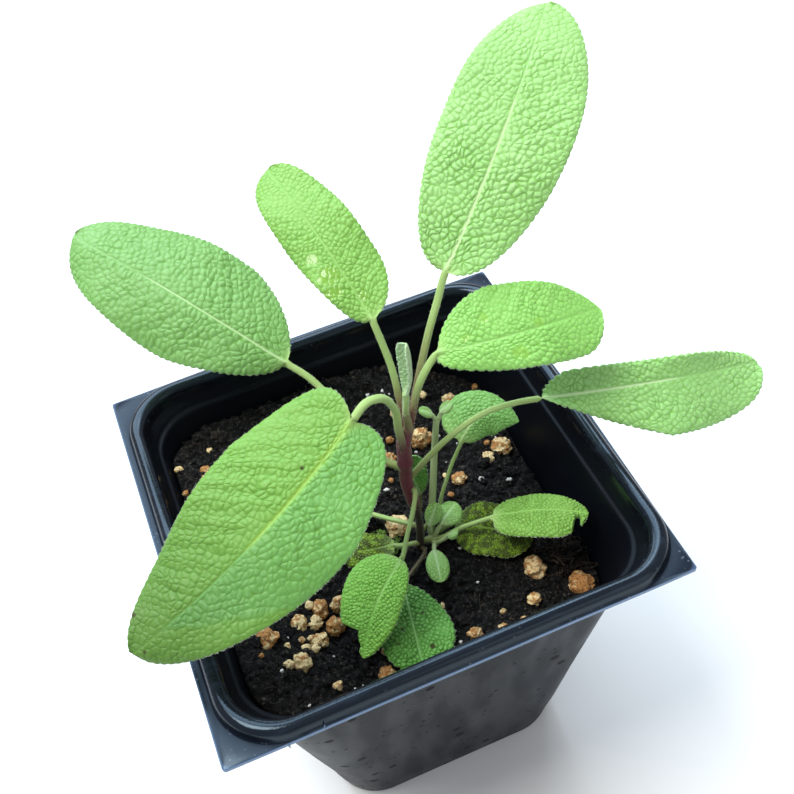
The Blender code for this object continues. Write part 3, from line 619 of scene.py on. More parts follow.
@dataclass(frozen=True)
class PotFinish:
    """Thin formed black plastic with dust and painted reflections, water marks, fine scratches, a painted
    edge highlight and painted inner shade.
    """

    name: str = "black_formed_plastic"
    plastic: Triple = (0.0045, 0.0065, 0.0115)
    dust_and_reflection: Triple = (0.056, 0.05, 0.045)
    speck: Triple = (0.5, 0.58, 0.68)
    painted_rim_highlight: Triple = (0.17, 0.27, 0.45)

    def material(self) -> bpy.types.Material:
        """Build the pot's material, which reads the masks outside, shelf and ridge."""
        graph = Graph(self.name)
        outside, shelf, ridge = graph.mask("outside"), graph.mask("shelf"), graph.mask("ridge")
        # Partly dust and partly painted reflection: cloudy and vertically streaked paler patches on the
        # walls.
        cloud = graph.noise(55.0, 3.0, 0.5)
        vertical_streaks = graph.noise(1.0, 2.0, 0.5, graph.stretched((170.0, 170.0, 34.0)))
        dust_and_reflection_share = cloud.between(0.4, 0.72) * (0.5 * outside + 0.05) + vertical_streaks.between(0.42, 0.8) * 0.3 * outside
        large = graph.spots(170.0).between(0.2, 0.14) * graph.noise(60.0, 1.0).between(0.5, 0.58)
        small = graph.spots(420.0).between(0.2, 0.12) * graph.noise(110.0, 1.0).between(0.5, 0.58)
        drop = large * outside + small * outside
        speck = graph.spots(620.0).between(0.17, 0.09) * graph.noise(85.0, 2.0).between(0.5, 0.66)
        fleck = graph.spots(950.0).between(0.24, 0.14) * graph.noise(200.0, 2.0).between(0.42, 0.58) * shelf
        speck = speck * (0.12 + 0.1 * shelf) + 0.3 * fleck
        scratch = graph.noise(1.0, 2.0, 0.5, graph.stretched((900.0, 90.0, 900.0))).between(0.62, 0.75)
        colour = graph.blend(dust_and_reflection_share, self.plastic, self.dust_and_reflection)
        colour = graph.blend(drop.between(0.0, 1.0) * 0.9, colour, toned(self.plastic, 0.3))
        colour = graph.blend(speck * 0.8, colour, self.speck)
        # Painted highlight: the flange's outer edge takes a pale blue, and patches of the bead a faint
        # trace of it.
        patchy = ridge * graph.noise(1.0, 3.0, 0.6, graph.stretched((60.0, 400.0, 400.0))).between(0.5, 0.7)
        colour = graph.blend(patchy * 0.08 + ridge.between(0.8, 1.0) * 0.7, colour, self.painted_rim_highlight)
        fine = graph.noise(3800.0, 2.0)
        gloss = 0.3 + 0.25 * dust_and_reflection_share + 0.12 * scratch + 0.3 * speck - 0.1 * drop + 0.2 * shelf
        # A matte cover dulls the water marks, the flange and the outer wall; inside the pot it dulls and
        # darkens the walls as painted shade.
        matte_and_shade = 0.9 * drop + 0.46 * shelf + 0.35 * vertical_streaks.between(0.68, 0.34) * outside
        matte_and_shade = matte_and_shade + 0.9 * (1.0 - outside) * (1.0 - shelf) * (1.0 - ridge)
        matte_and_shade = matte_and_shade + 0.35 * outside * (1.0 - ridge)
        matt = graph.blend(shelf, toned(self.plastic, 0.6), toned(self.plastic, 2.6, 3.2, 3.6))
        graph.cover(matte_and_shade * (1.0 - speck), Base_Color=matt, Roughness=0.6, Specular_IOR_Level=0.1)
        return graph.finish(
            Base_Color=colour,
            Roughness=gloss * (1.0 - 0.85 * ridge) + 0.05 * patchy,
            Specular_IOR_Level=0.52,
            Specular_Tint=(0.6, 0.82, 1.0),
            Normal=graph.bump(fine + 0.6 * cloud + 0.5 * vertical_streaks, 0.05, 0.35),
        )


@dataclass(frozen=True)
class PeatFinish:
    """Damp dark peat, of the bed and of its crumbs and fibres."""

    name: str
    dark: Triple = (0.0012, 0.0014, 0.0016)
    brown: Triple = (0.046, 0.044, 0.042)
    pale: Triple = (0.1, 0.08, 0.062)
    pale_share: float = 0.2

    def material(self) -> bpy.types.Material:
        """Build the peat's material, which reads the mask tone."""
        graph = Graph(self.name)
        tone = graph.mask("tone")
        grit = graph.noise(2100.0, 5.0, 0.75)
        patch = graph.noise(140.0, 3.0)
        fleck = graph.noise(1500.0, 2.0).between(0.63, 0.67)
        shine = graph.noise(2300.0, 1.0).between(0.58, 0.63) * patch.between(0.36, 0.56)
        speckle = graph.noise(950.0, 4.0, 0.8).between(0.51, 0.6)
        share = speckle * (0.35 + 0.5 * patch.between(0.35, 0.65)) + 0.35 * tone.between(0.5, 1.0)
        colour = graph.blend(share, self.dark, self.brown)
        colour = graph.blend(tone.between(0.82, 0.98) * self.pale_share, colour, self.pale)
        colour = graph.blend(fleck * 0.9, colour, self.pale)
        return graph.finish(
            Base_Color=colour,
            Roughness=0.95 - 0.85 * shine,
            Specular_IOR_Level=0.28,
            Normal=graph.bump(grit, 0.8, 1.0),
        )


@dataclass(frozen=True)
class StoneFinish:
    """Clay granules and perlite: from white through peach to burnt orange, with brown pits."""

    name: str
    pale: Triple = (0.8, 0.62, 0.32)
    warm: Triple = (0.42, 0.19, 0.05)
    pit: Triple = (0.1, 0.035, 0.01)
    pit_share: float = 0.95

    def material(self) -> bpy.types.Material:
        """Build the stones' material, which reads the mask tone."""
        graph = Graph(self.name)
        tone = graph.mask("tone")
        cloud = graph.noise(900.0, 4.0, 0.6)
        grain = graph.noise(2400.0, 4.0, 0.65)
        colour = graph.blend((cloud + (tone - 0.5) * 0.3).between(0.44, 0.59), self.pale, self.warm)
        pits = grain.between(0.51, 0.6) * self.pit_share * (0.35 + 0.65 * tone)
        colour = graph.blend(pits, colour, self.pit)
        return graph.finish(
            Base_Color=colour,
            Roughness=0.72 + 0.2 * grain,
            Normal=graph.bump(grain, 0.28, 0.7),
        )


@dataclass(frozen=True)
class DownFinish:
    """Fine white hairs."""

    name: str = "white_down"
    colour: Triple = (0.82, 0.9, 0.74)

    def material(self) -> bpy.types.Material:
        """Build the hairs' material, a little darker towards the root."""
        graph = Graph(self.name)
        colour = graph.blend(graph.mask("along"), toned(self.colour, 0.7), self.colour)
        return graph.finish(Base_Color=colour, Roughness=0.5, Sheen_Weight=0.3)


class Foliage(Enum):
    """The kinds of leaf on the plant, each with its finish and its material slot."""

    TALL = ("leaf_bright", LeafFinish(
        "tall_leaf", (0.285, 0.557, 0.162), (0.56, 0.76, 0.36), stalk_foot=(0.14, 0.055, 0.04),
        blush=(0.2, 0.7),
        streaks=0.6, crease_depth=0.17, crease_share=0.6))
    BACK = ("leaf_bright", LeafFinish(
        "back_leaf", (0.196, 0.423, 0.072), stalk_foot=(0.14, 0.055, 0.04), blush=(0.2, 0.7), streaks=0.6,
        crease_depth=0.1, crease_share=0.45))
    RIGHT = ("leaf_bright", LeafFinish(
        "right_leaf", (0.25, 0.557, 0.118), stalk_foot=(0.14, 0.055, 0.04), blush=(0.2, 0.7), streaks=0.6,
        crease_depth=0.09, crease_share=0.35))
    LEFT = ("leaf_bright", LeafFinish(
        "left_leaf", (0.17, 0.376, 0.094), (0.5, 0.68, 0.34), crease_depth=0.1, crease_share=0.5))
    FAR = ("leaf_bright", LeafFinish(
        "far_leaf", (0.267, 0.534, 0.16), (0.58, 0.76, 0.42), stalk=(0.42, 0.6, 0.2), crease_depth=0.12,
        crease_share=0.5))
    # Painted shade: the front leaf's crest is darker than its neighbours' and its tip darkens.
    FRONT = ("leaf_bright", LeafFinish(
        "front_leaf", (0.146, 0.35, 0.059), (0.34, 0.54, 0.07), blush=(0.5, 0.9),
        stalk_foot=(0.13, 0.05, 0.05),
        crease=(0.74, 0.8, 0.36), crease_depth=0.11, crease_share=0.52, warm_side=0.5, shaded_tip_tone=0.55))
    DEEP = ("leaf_deep", LeafFinish("deep_leaf", (0.2, 0.41, 0.068), crease_depth=0.22, crease_share=0.75))
    # Painted light: the low leaf lies in shade under the front leaf, and its crest is lightened against
    # that shade.
    LOW = ("leaf_deep", LeafFinish("low_leaf", (0.27, 0.62, 0.093)))
    BEHIND = ("leaf_deep", LeafFinish("behind_leaf", (0.2, 0.45, 0.11)))
    DARK = ("leaf_deep", LeafFinish(
        "dark_leaf", (0.122, 0.36, 0.059), (0.24, 0.42, 0.16), stalk=(0.1, 0.08, 0.03),
        stalk_foot=(0.06, 0.04, 0.02),
        crease=(0.33, 0.4, 0.2), crease_depth=0.22, crease_share=0.9))
    OLD = ("leaf_old", LeafFinish(
        "old_leaf", (0.2, 0.34, 0.02), (0.13, 0.22, 0.02), blotch=(0.04, 0.056, 0.006), blotch_share=0.7,
        crease=(0.3, 0.33, 0.2), crease_depth=0.24, crease_share=0.8, sheen=0.0))
    YOUNG = ("leaf_young", LeafFinish(
        "young_leaf", (0.26, 0.5, 0.13), (0.42, 0.62, 0.3), stalk=(0.4, 0.52, 0.24),
        stalk_foot=(0.28, 0.36, 0.14),
        crease_depth=0.1, sheen=0.2))
    DOWNY = ("leaf_young", LeafFinish("downy_leaf", (0.36, 0.56, 0.28), (0.46, 0.62, 0.36), sheen=0.5))

    @property
    def slot(self) -> str:
        """The material slot of the record."""
        return self.value[0]

    @property
    def finish(self) -> LeafFinish:
        """The finish of such a leaf."""
        return self.value[1]


# Leaves


@dataclass
class Leaf:
    """One leaf: a stalk from the stem, and a pebbled blade with a fine scalloped edge."""

    name: str
    stalk: tuple[Triple, ...]
    tip: Triple
    width: float
    kind: Foliage
    stalk_radii: tuple[float, float] = (0.95, 0.75)
    arch: float = 2.5
    sweep: float = 0.0
    roll: float = 0.0
    cup: float = 0.0
    wave: float = 0.0
    waves: float = 2.0
    widest: float = 0.5
    skew: float = 0.0
    foot_power: float = 1.9
    tip_power: float = 2.3
    uneven: float = 0.0
    lobes: tuple[float, float] = (0.0, 0.0)
    bites: tuple[tuple[int, float, float, float], ...] = ()
    cell: float = 1.2
    relief: float = 0.4
    smooth_tip: float = 0.0
    wrinkle: float = 0.08
    vein_gap: float = 4.4
    scallop: float = 0.26
    scallop_pitch: float = 1.35
    step: float = 0.27
    thickness: float = 0.4
    rib_reach: float = 0.66
    rib_widths: tuple[float, float] = (0.34, 0.12)
    rib_share: float = 1.0
    rib_edge: float = 4.0
    wet: tuple[tuple[float, float, float], ...] = ()
    spots: tuple[tuple[float, float, float], ...] = ()
    stalk_sides: int = 18

    FIRST_ROW = 0.0015
    LAST_ROW = 0.9992
    EVEN_SHARE = 0.55
    STEEP = 0.85
    VEIN_LEAN = 0.66
    LOBE_END = 0.3
    RUN_APART = 43.0
    BRANCH_APART = 71.0

    def __post_init__(self) -> None:
        """Work out the blade's own directions from its foot to its tip."""
        self.foot = np.array(self.stalk[-1])
        self.chord = np.array(self.tip) - self.foot
        self.length = float(np.linalg.norm(self.chord))
        lean = self.chord / self.length
        upright = np.array((0.0, 0.0, 1.0))
        if abs(lean[2]) > self.STEEP:
            upright = np.array((-lean[0], -lean[1], 0.0))
        level = upright - lean * upright.dot(lean)
        level /= np.linalg.norm(level)
        turn = math.radians(self.roll)
        self.normal = level * math.cos(turn) + np.cross(lean, level) * math.sin(turn)
        self.side = np.cross(lean, self.normal)

    def spine(self, share: Array) -> Array:
        """Points of the midrib at shares of the blade's length."""
        bow = (4.0 * share * (1.0 - share))[:, None]
        bend = self.normal * self.arch + self.side * self.sweep
        return self.foot + self.chord * share[:, None] + bend * bow

    def half_width(self, share: Array, sign: int) -> Array:
        """Width of one half of the blade.

        Args:
            share: Shares of the blade's length.
            sign: Which half, -1 or 1, or 0 for their mean.

        Returns:
            The widths, with any bite taken out of them.
        """
        widest = min(0.85, max(0.15, self.widest + self.skew * sign))
        low = np.clip(1.0 - share / widest, 0.0, 1.0)
        high = np.clip((share - widest) / (1.0 - widest), 0.0, 1.0)
        near = (1.0 - low ** self.foot_power) ** (1.0 / self.foot_power)
        far = (1.0 - high ** self.tip_power) ** (1.0 / self.tip_power)
        width = 0.5 * self.width * (1.0 + self.uneven * sign) * np.where(share < widest, near, far)
        for side, start, end, depth in self.bites:
            if side == sign:
                gone = rise(share, start - 0.012, start + 0.012)
                if end < 1.0:
                    gone = gone * (1.0 - rise(share, end - 0.012, end + 0.012))
                ragged = 1.0 + 0.25 * smooth_noise(share * self.length * 0.9, share * 0.0, 77)
                width = width * (1.0 - depth * gone * ragged)
        return np.maximum(width, 0.12)

    def stalk_route(self) -> Array:
        """Points along the stalk, up to the blade's foot."""
        points = np.vstack([np.array(self.stalk), self.spine(np.array((0.12,)))])
        span = float(np.linalg.norm(np.diff(points, axis=0), axis=1).mean())
        steps = max(4, round(span / 0.7))
        return smooth_route(points, steps)[:-steps - 1]

    def relief_of(self, along: Array, across: Array, edge: Array) -> dict[str, Array]:
        """Work out the pebbled surface.

        Args:
            along: Distance from the blade's foot, in millimetres.
            across: Distance from the midrib, negative on the left.
            edge: Share of the way from the midrib to the margin.

        Returns:
            The surface's height, the masks net, dome, cell, vein and calm, and the cells' run and branch.
        """
        reach = np.abs(across)
        turn = math.hypot(1.0, self.VEIN_LEAN)
        warp = 0.4 * self.cell * smooth_noise(along / 2.7, across / 2.7, 21)
        branch = (along - self.VEIN_LEAN * reach - 0.008 * reach ** 2) / turn + warp
        stray = 0.4 * self.cell * smooth_noise(along / 2.3, across / 2.3, 23)
        run = (reach + self.VEIN_LEAN * along) / turn + stray
        fine = 0.13 * self.cell * smooth_noise(along / 0.8, across / 0.8, 25)
        run = (run + fine) / (1.06 * self.cell) + np.where(across < 0.0, 0.0, self.RUN_APART)
        column = (branch - fine) / (0.94 * self.cell) + np.where(across < 0.0, 0.0, self.BRANCH_APART)
        first, second, tone = pebble_cells(run, column, LeafFinish.JITTER)
        net = 1.0 - rise(second - first, 0.0, 0.26)
        dome = mound(first, 3)
        wander = branch * turn + 0.5 * smooth_noise(along / 5.0, across / 5.0, 35)
        phase = wander / self.vein_gap
        from_vein = np.abs(phase - np.round(phase)) * self.vein_gap
        strong = 0.45 + 0.55 * smooth_noise(along / 6.0, across / 6.0, 37)
        vein = np.exp(-(from_vein / 0.3) ** 2) * rise(reach, 0.4, 1.4)
        vein = vein * (1.0 - rise(edge, 0.6, 0.92)) * strong
        uneven = 0.8 + 0.4 * smooth_noise(along / 6.0, across / 6.0, 51)
        calm = rise(reach, 0.05, 0.45) * (1.0 - 0.5 * rise(edge, 0.92, 1.0)) * uneven
        calm = calm * (1.0 - self.smooth_tip * rise(along / self.length, 0.4, 1.0))
        tall = 0.7 + 0.6 * tone
        height = self.relief * calm * (0.6 * tall * dome + 0.55 * (1.0 - net) - 0.6 - 0.45 * vein)
        height = height + self.wrinkle * calm * np.cos(math.tau * phase) * rise(reach, 0.5, 3.0)
        return {
            "height": height, "net": np.maximum(net, vein), "dome": dome, "cell": tone, "vein": vein,
            "run": run, "branch": column, "calm": calm,
        }

    def marks(self, places: tuple[Triple, ...], along: Array, across: Array) -> Array:
        """Paint uneven round marks.

        Args:
            places: Each mark's share of the length, distance from the midrib, and size.
            along: Distance of the surface's points from the blade's foot.
            across: Their distance from the midrib.

        Returns:
            1 inside the marks and 0 outside.
        """
        mark = np.zeros_like(across)
        for place, offset, size in places:
            away = np.hypot(along - place * self.length, across - offset)
            away = away * (1.0 + 0.3 * smooth_noise(along / 0.9, across / 0.9, 63))
            mark = np.maximum(mark, 1.0 - rise(away, 0.45 * size, 0.6 * size))
        return mark

    def blade(self, share: Array, centres: Array, normals: Array, directions: Array) -> Shape:
        """Make the blade's upper and lower surface.

        Args:
            share: Shares of the blade's length where its rows lie.
            centres: The midrib's points there.
            normals: The blade's normals there.
            directions: The midrib's directions there.

        Returns:
            Two grids of points, upper then lower, joined at the margin and the tip but open at the foot.
        """
        columns = 2 * round(0.5 * self.width / self.step) + 2
        spread = np.linspace(-1.0, 1.0, columns)
        spread = np.sign(spread) * np.abs(spread) ** 1.22
        edge = np.abs(spread)[None, :]
        sides = np.cross(directions, normals)
        along = share * self.length
        widths, forward = {}, {}
        for sign in (-1, 1):
            width = self.half_width(share, sign)
            slope = np.gradient(width, along)
            margin = np.concatenate([[0.0], np.cumsum(np.hypot(np.diff(along), np.diff(width)))])
            bumps = np.abs(np.sin(math.pi * margin / self.scallop_pitch + sign)) ** 0.7 - 0.55
            grow = self.scallop * bumps * rise(width, 0.3, 2.0)
            flat = 1.0 / np.hypot(1.0, slope)
            widths[sign] = width + grow * flat
            forward[sign] = -grow * slope * flat
        left = spread[None, :] < 0.0
        across = spread[None, :] * np.where(left, widths[-1][:, None], widths[1][:, None])
        ahead = edge ** 6 * np.where(left, forward[-1][:, None], forward[1][:, None])
        lobe = np.where(left, self.lobes[0] * widths[-1][:, None], self.lobes[1] * widths[1][:, None])
        lobe = lobe * (1.0 - rise(share, 0.0, self.LOBE_END))[:, None] / (0.5 * self.width)
        ahead = ahead - lobe * edge ** 1.5
        along_grid = along[:, None] + ahead
        half = self.half_width(share, 0)
        full = np.minimum(1.0, half / (0.5 * self.width))[:, None]
        sign = np.where(left, -1.0, 1.0)
        bend = self.cup * 0.5 * self.width * edge ** 1.5 * full
        bend = bend + self.wave * edge ** 2 * np.sin(math.tau * self.waves * share[:, None] + 1.3 * sign)
        relief = self.relief_of(along_grid, across, edge + 0.0 * across)
        marks = {
            name: self.marks(places, along_grid, across)
            for name, places in (("wet", self.wet), ("spot", self.spots))
        }
        relief["height"] = relief["height"] * (1.0 - 0.4 * marks["wet"])
        fade = np.clip(1.0 - share / self.rib_reach, 0.0, 1.0)[:, None]
        radius = self.stalk_radii[1]
        core = np.sqrt(np.clip(1.0 - (across / radius) ** 2, 0.0, 1.0))
        top_rib = radius * core * np.exp(-along / 1.6)[:, None]
        groove = 0.5 * np.exp(-np.abs(across) / 0.8) * rise(along, 0.8, 4.0)[:, None] * (0.3 + 0.7 * fade)
        ridge = 0.1 * np.exp(-(across / (0.12 + 0.16 * fade)) ** 2) * fade
        height = bend + relief["height"] * full - groove * full + ridge - 0.4 * edge ** 12 * full
        half_thick = 0.5 * self.thickness * (1.0 - 0.55 * edge ** 8)
        low_rib = radius * core * (0.12 + 0.88 * fade) * (1.0 - rise(share, 0.8, 1.0))[:, None]
        low_vein = 0.16 * relief["vein"] * full
        top = height + np.maximum(half_thick, top_rib)
        bottom = height - np.maximum(half_thick, 0.95 * low_rib) - low_vein

        def lift(level: Array) -> Array:
            """Place a grid of heights in space."""
            return (
                centres[:, None] + sides[:, None] * across[..., None] + normals[:, None] * level[..., None]
                + directions[:, None] * ahead[..., None]
            ).reshape(-1, 3)

        rows = len(share)
        count = rows * columns
        last = (rows - 1) * columns
        rim = []
        for column in (0, columns - 1):
            near = np.arange(rows - 1) * columns + column
            rim.append(np.stack([near, near + columns, near + columns + count, near + count], axis=-1))
        end = last + np.arange(columns - 1)
        rim.append(np.stack([end, end + 1, end + 1 + count, end + count], axis=-1))
        wide, narrow = self.rib_widths
        rib_width = (narrow + (wide - narrow) * fade) * np.ones_like(across)
        rib = self.rib_share * np.exp(-np.abs(across / rib_width) ** self.rib_edge) * rise(fade, 0.0, 0.15)
        kept = ("net", "dome", "cell", "run", "branch", "calm")
        masks = {name: np.tile(relief[name].ravel(), 2) for name in kept}
        masks["rib"] = np.tile(rib.ravel(), 2)
        masks["under"] = np.concatenate([np.zeros(count), np.ones(count)])
        masks["stalk"] = np.tile((np.exp(-along / 0.8)[:, None] * np.ones_like(across)).ravel(), 2)
        masks["foot"] = np.zeros(2 * count)
        masks["reach"] = np.tile((share[:, None] * np.ones_like(across)).ravel(), 2)
        for name, mark in marks.items():
            masks[name] = np.concatenate([mark.ravel(), np.zeros(count)])
        faces = [grid_band(0, rows, columns), grid_band(count, rows, columns, True), *rim]
        return Shape(np.vstack([lift(top), lift(bottom)]), faces, masks)

    def build(self) -> Shape:
        """Make the whole leaf.

        Returns:
            One closed shape of the stalk and the blade.
        """
        rows = max(24, round(self.length / self.step))
        t = np.linspace(0.0, 1.0, rows)
        share = self.EVEN_SHARE * t + (1.0 - self.EVEN_SHARE) * (0.5 - 0.5 * np.cos(math.pi * t))
        share = self.FIRST_ROW + (self.LAST_ROW - self.FIRST_ROW) * share
        stalk, spine = self.stalk_route(), self.spine(share)
        directions = directions_of(np.vstack([stalk, spine]))
        normals = carried_normals(directions, len(stalk) + rows // 2, self.normal)
        count, sides = len(stalk), self.stalk_sides
        part = np.linspace(0.0, 1.0, count)
        radii = self.stalk_radii[0] + (self.stalk_radii[1] - self.stalk_radii[0]) * part
        radii = radii * (1.0 + 0.25 * np.exp(-part * 9.0))
        angles = math.pi - math.tau * np.arange(sides) / sides
        channel = 0.2 * np.exp(-((angles - 0.5 * math.pi) / 0.5) ** 2) * rise(part, 0.1, 0.35)[:, None]
        spoke = radii[:, None] * (1.0 - channel * (1.0 - rise(part, 0.85, 1.0))[:, None])
        across = np.cross(directions, normals)[:count]
        rings = (
            stalk[:, None] + across[:, None] * (spoke * np.cos(angles))[..., None]
            + normals[:count, None] * (spoke * np.sin(angles))[..., None]
        )
        blade = self.blade(share, spine, normals[count:], directions[count:])
        size = count * sides
        masks = {name: np.concatenate([np.zeros(size), values]) for name, values in blade.masks.items()}
        masks["stalk"][:size] = 1.0
        masks["foot"][:size] = np.repeat(1.0 - part, sides)
        columns = len(blade.points) // (2 * rows)
        upper = size + np.arange(columns)
        lower = size + rows * columns + np.arange(columns)[::-1]
        faces = [
            ring_band(0, count, sides), np.arange(sides)[None],
            zip_rings(np.arange(size - sides, size), np.concatenate([upper, lower])),
            *(band + size for band in blade.faces),
        ]
        self.margin_points = blade.points.reshape(2, rows, columns, 3)[0]
        self.stalk_frames = (stalk, normals[:count], across, radii)
        return Shape(np.vstack([rings.reshape(-1, 3), blade.points]), faces, masks)

    def place(self) -> bpy.types.Object:
        """Put the leaf in the scene in place of its plain solid."""
        piece = self.build().make("fine_" + self.name, self.kind.finish.material())
        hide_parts(self.name)
        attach(piece, BODY)
        return piece


# The plant


